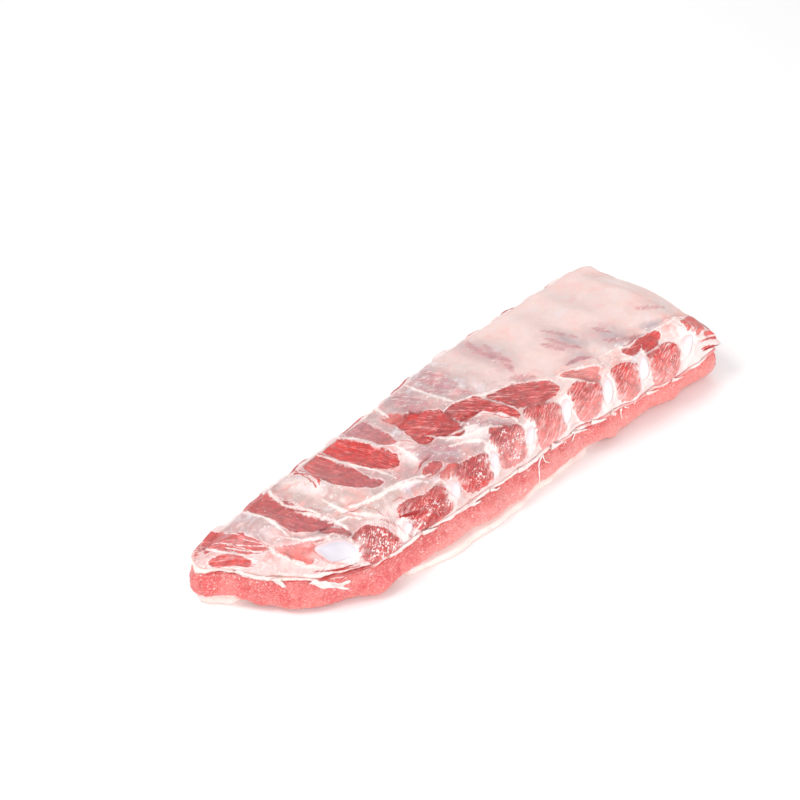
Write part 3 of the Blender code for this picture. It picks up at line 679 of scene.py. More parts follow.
    # tissue round the bones, with strands that reach into the muscles
    for k in range(ribCount):
        bx, bz = ribs["atX"][k], ribs["height"][k]
        dx = (x - bx - ribs["ovalLean"] * (z - bz)) / (ribs["wide"][k] * ribs["frontWide"][k] + 0.4)
        dz = (z - bz) / (ribs["tall"][k] * ribs["frontTall"][k] + 0.4)
        if k == nearRib:
            end = ribs["nine"]
            dz = (z - end["at"][1]) / np.where(z > end["at"][1], end["above"] + 0.4, end["below"] + 0.4)
            dx = (x - end["at"][0] - end["shift"] * np.clip(dz, 0, 1)) / (end["wide"] + 0.4)
        ring = np.hypot(dx, dz)
        turn = np.arctan2(dz, dx)
        strand = 0.28 * np.sin(turn * 9 + 2 * wobble) + 0.22 * np.sin(turn * 17 + 3 * drift)
        reach = (ring - 1) * 0.5 * (ribs["wide"][k] + ribs["tall"][k]) - 0.7 - 2.4 * strand
        onFace = (s < 34) & (sideBack + sideFar < 0.5)
        halo = np.where(onFace, np.clip(1.0 - reach / 2.4, 0, 1), 0)
        made["muscle"] = np.where(onFace, np.minimum(made["muscle"], reach), made["muscle"])
        made["ground"] = blend(made["ground"], ease(halo) * (0.75 if k < nearRib else 0.2), "strand")
        if k == nearRib:
            border = np.exp(-(((ring - 1.16) / 0.13) ** 2)) * ease((0.2 - dx) / 0.6)
            made["ground"] = blend(made["ground"], np.where(onFace, 0.8 * border, 0), "lumpRed")
        made["film"] = made["film"] * (1 - ease(halo))
        made["relief"] += np.where(onFace, 0.7 * np.exp(-(((ring - 1.25) / 0.3) ** 2)), 0)
        rays = ease(0.5 + 0.7 * np.sin(turn * 13 + 2.5 * wobble)) * np.exp(-np.clip(reach, 0, 9) / 3.2)
        made["veil"] = np.where(onFace, np.maximum(made["veil"], 0.85 * rays), made["veil"])
    made["muscle"] = np.minimum(made["muscle"], (z - 24.9 + 0.7 * far - 0.5 * wobble) * 1.6)
    # ridges of white tissue and fine red lines
    ridge, red = np.zeros(count), np.zeros(count)
    for number, (line, half, high) in enumerate(ridges.values()):
        d, place = stroke(line, 0.6)
        uneven = 1 + 0.8 * cloud(x, s, 0 * x, 5.0, 61 + number)
        width = half * (0.6 + 0.9 * np.sin(math.pi * place)) * uneven
        bar = np.exp(-((d / np.maximum(width, 0.2)) ** 2)) * shown
        ridge = np.maximum(ridge, bar)
        made["relief"] += 0.9 * high * np.exp(-((d / (width + 0.6)) ** 2)) * shown
    for line, half, strength in redLines.values():
        d, _ = stroke(line, 0.6)
        red = np.maximum(red, strength * np.exp(-((d / half) ** 2)) * shown)
    made["ridge"], made["redLine"] = ridge, red
    # grooves, painted deep red inside: partly the flesh's own dark red, partly painted shade
    grooveRedAndShade = np.zeros(count)
    for line, half, deep in grooves.values():
        d, place = stroke(line, 0.3)
        width = half * (0.35 + 0.65 * np.sin(math.pi * place))
        made["relief"] -= deep * np.exp(-((d / width) ** 2)) * np.where(place * (1 - place) > 0, 1, 0.5)
        grooveRedAndShade = np.maximum(grooveRedAndShade, np.clip(deep / 1.7, 0, 1) * np.exp(-((d / width / 1.1) ** 2)))
    made["grooveRedAndShade"] = shown * grooveRedAndShade
    # fine relief
    fat = 1 - ease(made["muscle"] + 0.5)
    soft = ease((s - 46) / 10) * ease((x - 20) / 30) * (1 - side)
    folds = 1 - np.abs(clouds(x + 2 * wobble, y, 1.5 * z, 11, 23, 2)) * 2.2
    folds = np.clip(folds, 0, 1) ** 2
    lobed = fat * (1 - soft) * (1 - side) * ease((s - 6) / 8)
    made["relief"] -= 0.8 * lobed * folds
    made["relief"] += 1.5 * lobed * clouds(x, y, z, 18, 33, 2)
    crumbs = ease(0.5 + insideDistance(wx, ws, grounds["crumbs"][0], 14) / 6) * fat
    made["relief"] += crumbs * 1.5 * np.abs(clouds(x, y, z, 4.5, 37, 2)) ** 0.8
    # painted shade: darker pink in the creases between the fat's folds
    made["creaseShade"] = lobed * folds * ease(0.6 + cloud(x, y, z, 17, 29))
    # painted highlights: amount of wet glints on the lobed fat, also raising its mottling
    made["groundMottleAndGlints"] = 0.5 * lobed
    made["relief"] += fat * (1 - soft) * (0.6 * clouds(x, y, z, 7, 21) + 0.3 * cloud(x, y, z, 2.6, 24))
    made["relief"] += fat * soft * 0.22 * clouds(x, y, z, 12, 27)
    rows = cloud(fibre[:, 0] / 6, fibre[:, 1], 0 * x, 1.5, 31)
    made["relief"] += (1 - fat) * (1 - made["veil"]) * (0.28 * rows + 0.22 * clouds(x, y, z, 3.0, 35))
    return made


def sideBlocks(points, sideBack, sideFar):
    # muscle on the back edge, between the ribs, and on the far end
    x, y, z = points.T
    inside = np.full(len(x), -9.0)
    sideBack = sideBack * (x > -118)
    wobble = 1.2 * clouds(x, y, z, 6.0, 41)
    backX = [ribAt(k, 55.0) for k in range(ribCount)] + [-175.0]
    starts = [191.0] + backX[:-1]
    for k, (high, low) in enumerate(zip(starts, backX)):
        mid, half = (high + low) / 2, (high - low) / 2 - 7.5
        d = 1 - np.abs((x - mid) / half) ** 3 - np.abs((z - 27.8 + 0.03 * (x - mid)) / 2.8) ** 3
        inside = np.where(sideBack > 0.5, np.maximum(inside, 3 * d + wobble), inside)
    for mid, half in ((-38.0, 13.0), (-6.0, 15.0), (30.0, 17.0)):
        d = 1 - np.abs((y - mid) / half) ** 3 - np.abs((z - 33.0) / 5.4) ** 3
        inside = np.where(sideFar > 0.5, np.maximum(inside, 3 * d + wobble), inside)
    return inside


def addAttributes(mesh, made):
    for name, values in made.items():
        values = np.asarray(values, np.float32)
        if values.ndim == 1:
            mesh.attributes.new(name, "FLOAT", "POINT").data.foreach_set("value", values)
        elif name == "fibre":
            mesh.attributes.new(name, "FLOAT_VECTOR", "POINT").data.foreach_set("vector", values.ravel())
        else:
            full = np.concatenate([values, np.ones((len(values), 1), np.float32)], 1)
            mesh.attributes.new(name, "FLOAT_COLOR", "POINT").data.foreach_set("color", full.ravel())


def makePiece(name, points, faces, finish, replaced=(), smooth=True):
    mesh = bpy.data.meshes.new(name)
    flat = [[int(i) for i in f] for f in faces]
    mesh.from_pydata(((np.asarray(points) - rackCentre) * mm).tolist(), [], flat)
    mesh.materials.append(finish)
    if smooth:
        mesh.shade_smooth()
    piece = bpy.data.objects.new(name, mesh)
    bpy.context.scene.collection.objects.link(piece)
    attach(piece, "root")
    if replaced:
        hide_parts(*replaced)
    return piece


def pushOut(piece, distance):
    # moves each point along its normal by its own distance in millimetres
    mesh = piece.data
    normals = np.zeros(len(mesh.vertices) * 3)
    mesh.vertex_normals.foreach_get("vector", normals)
    places = np.zeros(len(mesh.vertices) * 3)
    mesh.vertices.foreach_get("co", places)
    places += (normals.reshape(-1, 3) * np.asarray(distance)[:, None] * mm).ravel()
    mesh.vertices.foreach_set("co", places)
    mesh.update()


def closedRows(rows):
    # points and faces of a body through closed rows of points, with a face at each end
    count = len(rows[0])
    last = (len(rows) - 1) * count
    faces = [list(range(count))[::-1]] + bands(rows).tolist()
    return np.concatenate(rows), faces + [list(range(last, last + count))]


def bands(rows, first=0):
    # faces between closed rows of equal length, from the lowest row up
    count = len(rows[0])
    index = first + np.arange(len(rows) * count).reshape(len(rows), count)
    index = np.concatenate([index, index[:, :1]], 1)
    return np.stack([index[:-1, :-1], index[:-1, 1:], index[1:, 1:], index[1:, :-1]], -1).reshape(-1, 4)


# The rib layer
ribLayer = {"along": 440, "across": 128, "rows": 22, "edgeRound": 2.2, "edgeWidth": 4.0,
            "sideOut": [(0, 1.5), (0.12, 1.8), (0.45, 1.5), (0.8, 1.2), (1.0, 0.0)]}


def ribLayerPoints():
    along, across = ribLayer["along"], ribLayer["across"]
    u, v = np.meshgrid(np.linspace(0, 1, along + 1), np.linspace(0, 1, across + 1), indexing="ij")
    x, y = planPoint(u, v, rack["edgeHeight"])
    z = topHeight(x, y, v)
    frontY = planPoint(u, 0 * v, rack["edgeHeight"])[1]
    backY = planPoint(u, 0 * v + 1, rack["edgeHeight"])[1]
    inward = np.minimum(np.minimum(y - frontY, backY - y),
                        np.minimum(u * 360, (1 - u) * 360))
    t = 1 - np.clip(inward / ribLayer["edgeWidth"], 0, 1)
    z = z - ribLayer["edgeRound"] * (1 - np.sqrt(np.clip(1 - t * t, 0, 1)))
    top = np.stack([x, y, z], 2)
    index = np.arange((along + 1) * (across + 1)).reshape(along + 1, across + 1)
    border = np.concatenate([index[:-1, 0], index[-1, :-1], index[:0:-1, -1], index[0, :0:-1]])
    rim = top.reshape(-1, 3)[border]
    ru, rv = rimParameters(along, across)
    bottom = rack["seamTop"] + rack["gap"]
    rows = [rimRow(ru, rv, bottom, depth=rack["lip"])]
    for share in np.linspace(0, 1, ribLayer["rows"] + 1)[:-1]:
        height = bottom + (rack["edgeHeight"] - bottom) * share
        fade = 1 - ease((share - 0.7) / 0.3)
        bulge = rack["edgeBulge"] * math.sin(math.pi * (0.15 + 0.85 * share)) * fade
        bulge = bulge * float(ease(0.3 + share * 2))
        out = valueAt(ribLayer["sideOut"], share)
        row = rimRow(ru, rv, height, out, bulge, rough=rack["scallop"] * fade)
        row[:, 2] = bottom + (rim[:, 2] - bottom) * share
        rows.append(row)
    points = np.concatenate(rows + [top.reshape(-1, 3)])
    faces = [list(range(len(border)))[::-1]]
    faces += bands(rows).tolist()
    start = len(rows) * len(border)
    last = start - len(border) + np.arange(len(border))
    ring = np.stack([last, np.roll(last, -1), start + np.roll(border, -1), start + border], 1)
    faces += ring.tolist()
    g = start + index
    faces += np.stack([g[:-1, :-1], g[1:, :-1], g[1:, 1:], g[:-1, 1:]], -1).reshape(-1, 4).tolist()
    onTop = np.zeros(top.shape[0] * top.shape[1])
    sideBack = np.concatenate([np.tile((rv > 0.995) * 1.0, len(rows)), onTop])
    sideFar = (ru > 0.9985) * (rv < 0.995) * (rv > 0.005) * 1.0
    sideFar = np.concatenate([np.tile(sideFar, len(rows)), onTop])
    return points, faces, sideBack, sideFar


def makeRibLayer(finish):
    points, faces, sideBack, sideFar = ribLayerPoints()
    piece = makePiece("ribMeat", points, faces, finish, ["rib_meat"])
    made = paintRibLayer(points, sideBack, sideFar)
    pushOut(piece, made.pop("relief"))
    addAttributes(piece.data, made)
    print("rib layer:", len(piece.data.vertices), "points")
    return piece


# The slab of meat under the seam
slab = {"along": 440, "across": 90, "rows": 26, "grainDeep": 0.35, "lumpDeep": 0.9,
        "sideOut": [(0.0, 0.8), (0.2, 2.2), (0.6, 2.4), (1.0, 1.6)],
        "bulge": [(0.0, 0.0), (0.2, 0.8), (0.6, 1.0), (1.0, 0.4)], "footRound": 1.6, "topRound": 0.5}


def shownFat(u, v):
    x, y = planPoint(u, v, rack["fatTop"])
    front = (v < 0.001) | (u < 0.001)
    seen = np.where(front, smoothEdge(rack["fatShows"], x), 1 - ease((x + 170) / 26))
    return np.clip(seen, 0, 1), smoothEdge(rack["fatLedge"], x)


def makeSlab(finish):
    u, v = rimParameters(slab["along"], slab["across"])
    seen, _ = shownFat(u, v)
    flat = rack["fatTop"] + rack["gap"]
    low = rack["skirtBottom"] + (flat - rack["skirtBottom"]) * ease(seen / 0.4)
    rows = []
    for depth, level in ((rack["skirtWidth"] - 1.4, flat), (rack["skirtWidth"] - 1.8, low)):
        row = rimRow(u, v, rack["fatTop"], depth=depth)
        row[:, 2] = level
        rows.append(row)
    for share in np.linspace(0, 1, slab["rows"]):
        out = valueAt(slab["sideOut"], share)
        out -= slab["footRound"] * (1 - ease(share / 0.14)) + slab["topRound"] * ease((share - 0.93) / 0.07)
        row = rimRow(u, v, flat + (rack["slabTop"] - flat) * share, out, valueAt(slab["bulge"], share))
        row[:, 2] = low + (rack["slabTop"] - low) * share
        rows.append(row)
    points, faces = closedRows(rows)
    piece = makePiece("meatSlab", points, faces, finish, ["meat_slab"])
    x, y, z = points.T
    share = np.clip((z - 2) / 19.5, 0, 1)
    wobble = clouds(x, y, z, 8, 51)
    fine = cloud(x, y, z, 2.2, 55)
    far = ease((x - 50) / 70)
    colour = plain(len(x), "slabPink")
    colour = blend(colour, 0.85 * far, "slabFar")
    near = 1 - ease((x + 130) / 30)
    colour = blend(colour, ease((share - 0.55 + 0.18 * wobble) / 0.35) * (0.85 - 0.55 * far), "slabDark")
    colour = blend(colour, (1 - ease((share - 0.12 + 0.12 * wobble) / 0.4)) * 0.8, "slabSalmon")
    colour = blend(colour, 0.6 * near, "slabDark")
    pale = ease((x + 95) / 40) * (1 - 0.5 * far) * (1 - ease((share - 0.5 + 0.2 * wobble) / 0.4))
    colour = blend(colour, 0.4 * pale, "slabPale")
    fat = 1 - ease((z - lowEdge(x) - 0.5 - 0.5 * wobble) / 0.9)
    fat = fat * np.tile(np.where(v < 0.5, ease((seen - 0.4) / 0.4), 0), len(rows))
    relief = slab["lumpDeep"] * clouds(x, y, z, 9, 57) * (0.4 + 0.6 * (1 - share))
    relief += slab["grainDeep"] * cloud(x, y, z, 1.8, 61) + 0.4 * slab["grainDeep"] * fine
    relief *= ease(np.clip(z / 4, 0, 1)) * 0.9
    pushOut(piece, relief)
    # painted highlights: wet glints on the slab, more towards its top
    glints = 0.3 + 0.3 * wobble + 0.25 * share
    addAttributes(piece.data, {"flesh": colour, "whiteness": fat, "glints": glints})
    print("slab:", len(piece.data.vertices), "points")
    return piece


def lowEdge(x):
    # height up to which fat shows on the slab
    return rack["fatTop"] + rack["gap"] + 4.0 * np.exp(-(((x + 172) / 8) ** 2))


# The white seam between slab and rib layer
seam = {"along": 440, "across": 90, "rows": 9, "ragged": 0.9, "sideOut": [(0, 1.7), (0.5, 2.5), (1, 1.9)]}


def makeSeam(finish):
    u, v = rimParameters(seam["along"], seam["across"])
    bottom, top = rack["slabTop"] + rack["gap"], rack["seamTop"]
    rows = []
    for share in np.linspace(0, 1, seam["rows"]):
        rows.append(rimRow(u, v, bottom + (top - bottom) * share, valueAt(seam["sideOut"], share)))
    points, faces = closedRows(rows)
    piece = makePiece("seamFat", points, faces, finish, ["seam_fat"])
    x, y, z = points.T
    wobble = clouds(x, y, 2 * z, 5, 71)
    pushOut(piece, seam["ragged"] * (0.5 * wobble + 0.5 * cloud(x, y, z, 2.0, 75)))
    colour = plain(len(x), "fascia")
    colour = blend(colour, ease(wobble - 0.1) * 0.5, "whiteFat")
    # painted shade: a warm pink low on the seam, where it meets the slab
    colour = blend(colour, 0.6 * (1 - ease((z - bottom - 0.1) / 0.6)), "pinkMuscle")
    colour = blend(colour, 0.7 * (1 - ease((x + 150) / 25)), "peachFat")
    # dark red on the seam under rib 9: partly dark muscle, partly painted shade of the slot there
    gap = ease((x + 140) / 4) * (1 - ease((x + 110) / 6)) * ease((z - 22.4 - 0.4 * wobble) / 0.8)
    colour = blend(colour, gap, "darkMuscle")
    far = ease((x - 20) / 50)
    bare = ease((cloud(x, y, 0 * x, 9, 77) + 0.9 * far - 0.25) / 0.5) * (1 - 0.75 * overRibs(x, y))
    low = ease((bottom + 1.9 - z + 0.5 * wobble) / 1.0)
    colour = blend(colour, bare * np.maximum(low, 0.75 * far), "slabPink")
    colour = blend(colour, bare * low * ease((cloud(x, y, 0 * x, 5, 79) - 0.1) / 0.4) * 0.8, "darkMuscle")
    addAttributes(piece.data, {"flesh": colour})
    print("seam:", len(piece.data.vertices), "points")
    return piece


# The outer fat that the rack lies on
outer = {"along": 400, "across": 80, "rows": 8, "ledge": 0.72,
         "sideOut": [(0, -1.0), (0.28, 0.3), (0.76, -0.2), (1, -1.2)]}


def makeOuterFat(finish):
    u, v = rimParameters(outer["along"], outer["across"])
    seen, ledge = shownFat(u, v)
    shown = ease((seen - 0.6) / 0.4)
    rows = []
    for share in np.linspace(0, 1, outer["rows"]):
        out = valueAt(outer["sideOut"], share) + outer["ledge"] * ledge * shown
        row = rimRow(u, v, rack["fatTop"], out, depth=rack["skirtWidth"] * (1 - shown))
        row[:, 2] = rack["fatTop"] * share
        rows.append(row)
    points, faces = closedRows(rows)
    piece = makePiece("outerFat", points, faces, finish, ["outer_fat"])
    x, y, z = points.T
    wobble = clouds(x, y, z, 8, 81)
    pushOut(piece, np.where((z > 0.2) & (z < 4.9), 0.5 * wobble + 0.2 * cloud(x, y, z, 2.5, 83), 0))
    colour = plain(len(x), "peachFat")
    colour = blend(colour, ease(0.5 + 0.7 * wobble) * 0.3, "strand")
    colour = blend(colour, ease((z - 3.6) / 1.2) * 0.9, "fascia")
    addAttributes(piece.data, {"flesh": colour})
    print("outer fat:", len(piece.data.vertices), "points")
    return piece


# The cut rib bones
bone = {"sides": 40, "steps": 30, "capRings": 7, "edgeRound": 0.9, "dome": 0.5, "frontExtra": 0.9,
        "backExtra": 0.6, "nearBackIn": 3.0, "faceSpan": 8, "farLilac": 0.35}


def cutFace(x, z):
    y = smoothEdge(rack["frontEdge"], x) + smoothEdge(rack["frontLean"], x) * riseAt(z)
    return y - 1.2 - rack["scallop"] * ripple(x, y, z, 9.0)


def backFace(x, z):
    y = smoothEdge(rack["backEdge"], x) - rack["backLean"] * riseAt(z)
    return y + 1.2 + rack["scallop"] * ripple(x, y, z, 9.0)


def boneRow(k, s, scale, push):
    angle = np.linspace(0, 2 * math.pi, bone["sides"], endpoint=False)
    turn = float(ease(np.array(s * 1.6)))
    grown = float(ease(np.array(s / 0.12)))
    scaleTall = ribs["frontTall"][k] + (1 - ribs["frontTall"][k]) * grown
    scaleWide = ribs["frontWide"][k] + (1 - ribs["frontWide"][k]) * grown
    uneven = 1 + 0.06 * np.sin(2 * angle + k * 1.7) + 0.04 * np.sin(3 * angle + k * 2.9)
    wide = (ribs["wide"][k] + (ribs["bladeWide"][k] - ribs["wide"][k]) * turn - ribs["shrink"]) * scale
    tall = (ribs["tall"][k] + (ribs["bladeTall"][k] - ribs["tall"][k]) * turn - ribs["shrink"]) * scale
    middle = ribs["height"][k] + (ribs["backHeight"][k] - ribs["height"][k]) * s
    up, along = np.sin(angle) * tall * scaleTall * uneven, np.cos(angle) * wide * scaleWide * uneven
    along = along + ribs["ovalLean"] * (1 - turn) * up
    if k == nearRib:
        end = ribs["nine"]
        sine, cosine = np.sin(angle), np.cos(angle)
        high = np.where(sine > 0, end["above"] * np.abs(sine) ** 0.45, -end["below"] * np.abs(sine) ** 0.5)
        high = end["at"][1] - middle + high * scale
        far = end["wide"] * np.sign(cosine) * np.abs(cosine) ** 0.8 + end["shift"] * np.clip(sine, 0, 1)
        far = end["at"][0] - ribs["atX"][k] + far * scale
        up, along = high + (up - high) * grown, far + (along - far) * grown
    z = middle + up
    span = bone["faceSpan"]
    face = [cutFace(np.full_like(z, ribs["atX"][k] + side), z) for side in (-span, 0, span)]
    front = np.mean(face, 0) + (face[2] - face[0]) / (2 * span) * along
    front = front - ribs["frontProud"] - bone["frontExtra"]
    farX = ribAt(k, smoothEdge(rack["backEdge"], np.array(float(ribs["atX"][k]))))
    back = backFace(np.full_like(z, farX), z) + ribs["backProud"]
    back = back + (bone["backExtra"] if k < nearRib else -bone["nearBackIn"])
    y = front + (back - front) * s + push
    x = ribAt(k, y) + along
    return np.stack([x, y, z], 1)


def makeBone(k, finish):
    rows, ring = [], []
    for j in range(bone["capRings"]):
        share = (j + 0.6) / bone["capRings"]
        rows.append(boneRow(k, 0.0, share, bone["edgeRound"] * share**6 - bone["dome"] * (1 - share**2)))
        ring.append(share)
    for s in np.linspace(0.0, 1.0, bone["steps"]):
        rows.append(boneRow(k, s, 1.0, bone["edgeRound"] * (1 - 2 * s)))
        ring.append(1.05)
    for j in reversed(range(bone["capRings"])):
        share = (j + 0.6) / bone["capRings"]
        rows.append(boneRow(k, 1.0, share, -bone["edgeRound"] * share**6))
        ring.append(share)
    points, faces = closedRows(rows)
    faces = [f[::-1] for f in faces]
    piece = makePiece(f"rib{k + 1}", points, faces, finish, [f"rib_{k + 1}"])
    x, y, z = points.T
    lilac = np.full(len(x), bone["farLilac"] if k > 3 else 0.0)
    if k == nearRib:
        lilac = (1.0 - 0.4 * ease((x + 123) / 9)) * (y < -10)
    addAttributes(piece.data, {"core": np.repeat(ring, bone["sides"]), "lilac": lilac})
    return piece


flapShape = {"steps": 6, "sides": 16, "halfWidth": 0.36, "jag": 0.25, "thick": 0.3, "thicker": 0.08,
             "sideOut": [(0, 0.8), (0.2, 2.2), (0.6, 2.4), (0.95, 1.8), (1.12, 2.4), (1.4, 2.4)],
             "proud": 0.6}
# Ragged flaps and strands of white tissue that hang from the seam: X, height and width along each
flaps = {
    "nearFlap": [(-160, 24, 8), (-158, 20, 6), (-156, 17.5, 3)],
    "nearFlapB": [(-154, 24, 6), (-152, 20, 4), (-151, 18, 2)],
    "nearFlapC": [(-166, 25, 5), (-163, 22, 4), (-162, 20.5, 2)],
    "underNine": [(-140, 23, 6), (-134, 19, 6.5), (-127, 17, 4.5), (-121, 18, 2)],
    "underNineB": [(-131, 19, 3), (-126, 15, 3.5), (-123, 13, 1.6)],
    "sevenSix": [(-34, 24, 3), (-29, 21.5, 3.4), (-24, 21, 1.5)],
    "sixEdge": [(-16, 24.5, 3), (-11, 21.5, 2.4), (-8, 21.5, 1)],
    "strandFive": [(29, 23, 2.6), (25, 18, 1.6), (23, 13, 1.0), (21, 8, 0.5)],
    "strandFiveB": [(30, 23, 2.0), (31, 18, 1.0), (34, 16, 0.5)],
    "gapFlap": [(56, 25, 2.4), (62, 22.5, 2.6), (69, 21, 1.4)],
    "gapFlapB": [(60, 24, 1.6), (58, 20, 1.4), (56, 18, 0.6)],
    "strandThree": [(96, 24, 2.0), (97, 19, 1.3), (98, 15, 0.7)],
    "strandThreeB": [(99, 24, 1.6), (103, 21, 1.1), (104, 20, 0.5)],
    "strandTwo": [(108, 24.5, 2.0), (109, 19, 1.2), (111, 15, 0.6)],
    "twoFlap": [(118, 25, 4), (124, 23, 3), (129, 22.5, 1.2)],
    "oneFlap": [(140, 25, 4), (146, 22.5, 3), (151, 22, 1.4)],
    "fiveFlap": [(8, 24.6, 5), (13, 22.6, 4), (17, 21.6, 1.6)],
    "fourFlap": [(38, 24.6, 6), (44, 22.8, 4), (49, 22, 1.6)],
    "threeFlap": [(72, 24.8, 5), (79, 23, 3.6), (84, 22.2, 1.5)],
    "threeFlapB": [(88, 24.6, 4), (91, 22.4, 3), (92, 20.8, 1.2)],
    "nearSeven": [(-70, 24.6, 5), (-64, 22.8, 3.6), (-59, 22, 1.6)],
    "nearEight": [(-96, 24.6, 5), (-90, 22.6, 3.4), (-86, 21.4, 1.4)],
}


def frontAt(x, z):
    # where the front of the rack is at this height
    height = float(z)
    xs = np.array([float(x)])
    y = smoothEdge(rack["frontEdge"], xs) + smoothEdge(rack["frontLean"], xs) * riseAt(height)
    y = y - smoothEdge(rack["flare"], xs) * sinkAt(height)
    share = (height - rack["fatTop"]) / (rack["slabTop"] - rack["fatTop"])
    out = valueAt(flapShape["sideOut"], share)
    slope = (smoothEdge(rack["frontEdge"], xs + 1) - smoothEdge(rack["frontEdge"], xs - 1))[0] / 2
    return float(y[0]) - out * math.hypot(1, slope) - flapShape["proud"], slope


def makeFlaps(finish):
    points, faces = [], []
    sides = flapShape["sides"]
    for number, line in enumerate(flaps.values()):
        steps = flapShape["steps"] * (len(line) - 1)
        spine = np.array(line, float)
        t = np.linspace(0, len(line) - 1, steps + 1)
        px, pz, pw = (np.interp(t, np.arange(len(line)), spine[:, k]) for k in range(3))
        rows = []
        for j in range(steps + 1):
            _, slope = frontAt(px[j], pz[j])
            after, before = min(j + 1, steps), max(j - 1, 0)
            tangent = np.array([px[after] - px[before], pz[after] - pz[before]])
            tangent /= np.linalg.norm(tangent) + 1e-9
            side = np.array([-tangent[1], tangent[0]])
            jag = 1 + flapShape["jag"] * math.sin(number * 2.1 + j * 0.9) * math.sin(j * 0.37 + number)
            row = []
            for a in np.linspace(0, 2 * math.pi, sides, endpoint=False):
                w = flapShape["halfWidth"] * pw[j] * jag * math.cos(a)
                thick = (flapShape["thick"] + flapShape["thicker"] * pw[j]) * math.sin(a)
                thick = thick * (1 - 0.5 * j / steps)
                qx, qz = px[j] + side[0] * w, pz[j] + side[1] * w
                qy, _ = frontAt(qx, qz)
                n = np.array([slope, -1.0]) / math.hypot(1, slope)
                row.append((qx + n[0] * thick, qy + n[1] * thick, qz))
            rows.append(np.array(row))
        first = sum(len(p) for p in points)
        points += rows
        faces.append([first + sides - 1 - i for i in range(sides)])
        faces += bands(rows, first).tolist()
        last = first + sides * steps
        faces.append([last + i for i in range(sides)])
    points = np.concatenate(points)
    piece = makePiece("tissueFlaps", points, faces, finish)
    x, y, z = points.T
    colour = blend(plain(len(x), "fascia"), ease(cloud(x, y, z, 3, 91)) * 0.5, "creamFat")
    addAttributes(piece.data, {"flesh": colour})
    print("flaps:", len(flaps), "of them,", len(points), "points")


# Materials
def newGroup(name, inputs, outputs):
    group = bpy.data.node_groups.new(name, "ShaderNodeTree")
    for label, kind, value in inputs:
        socket = group.interface.new_socket(name=label, in_out="INPUT", socket_type="NodeSocket" + kind)
        if value is not None:
            socket.default_value = value
    for label, kind in outputs:
        group.interface.new_socket(name=label, in_out="OUTPUT", socket_type="NodeSocket" + kind)
    return group, group.nodes.new("NodeGroupInput"), group.nodes.new("NodeGroupOutput")


class Maker:
    # short ways to add nodes to a tree
    def __init__(self, tree):
        self.tree = tree

    def node(self, kind, **settings):
        made = self.tree.nodes.new(kind)
        for key, value in settings.items():
            setattr(made, key, value)
        return made

    def put(self, socket, value):
        if isinstance(value, bpy.types.NodeSocket):
            self.tree.links.new(value, socket)
        elif value is not None:
            socket.default_value = value

    def math(self, kind, a, b=None, c=None, clamp=False):
        made = self.node("ShaderNodeMath", operation=kind, use_clamp=clamp)
        for socket, value in zip(made.inputs, (a, b, c)):
            self.put(socket, value)
        return made.outputs[0]

    def times(self, a, b):
        return self.math("MULTIPLY", a, b)

    def plus(self, a, b):
        return self.math("ADD", a, b)

    def minus(self, a, b):
        return self.math("SUBTRACT", a, b)

    def noise(self, vector, scale, detail=2.0, rough=0.5, distortion=0.0):
        made = self.node("ShaderNodeTexNoise")
        self.put(made.inputs["Vector"], vector)
        made.inputs["Scale"].default_value = scale
        made.inputs["Detail"].default_value = detail
        made.inputs["Roughness"].default_value = rough
        made.inputs["Distortion"].default_value = distortion
        return made.outputs["Fac"]

    def scaled(self, vector, scale):
        made = self.node("ShaderNodeVectorMath", operation="MULTIPLY")
        self.put(made.inputs[0], vector)
        made.inputs[1].default_value = scale
        return made.outputs[0]

    def ramp(self, value, low, high, start=0.0, end=1.0):
        made = self.node("ShaderNodeMapRange", interpolation_type="SMOOTHSTEP")
        for socket, v in zip(made.inputs, (value, low, high, start, end)):
            self.put(socket, v)
        return made.outputs[0]

    def mix(self, share, a, b, kind="MIX"):
        made = self.node("ShaderNodeMix", data_type="RGBA", blend_type=kind, clamp_factor=True)
        self.put(made.inputs[0], share)
        self.put(made.inputs[6], a)
        self.put(made.inputs[7], b)
        return made.outputs[2]

    def grey(self, value):
        # a value as a grey colour
        made = self.node("ShaderNodeCombineColor")
        for socket in made.inputs[:3]:
            self.put(socket, value)
        return made.outputs[0]

    def attribute(self, name, kind="Fac"):
        return self.node("ShaderNodeAttribute", attribute_name=name).outputs[kind]

    def place(self):
        # object coordinates in millimetres
        return self.scaled(self.node("ShaderNodeTexCoord").outputs["Object"], (1000, 1000, 1000))

    def group(self, tree, **values):
        made = self.node("ShaderNodeGroup", node_tree=tree)
        for label, value in values.items():
            self.put(made.inputs[label], value)
        return made.outputs

    def bump(self, height, strength, distance):
        made = self.node("ShaderNodeBump")
        self.put(made.inputs["Height"], height)
        made.inputs["Strength"].default_value = strength
        made.inputs["Distance"].default_value = distance
        return made.outputs["Normal"]


def rgb(name):
    return (*linear(name), 1.0)


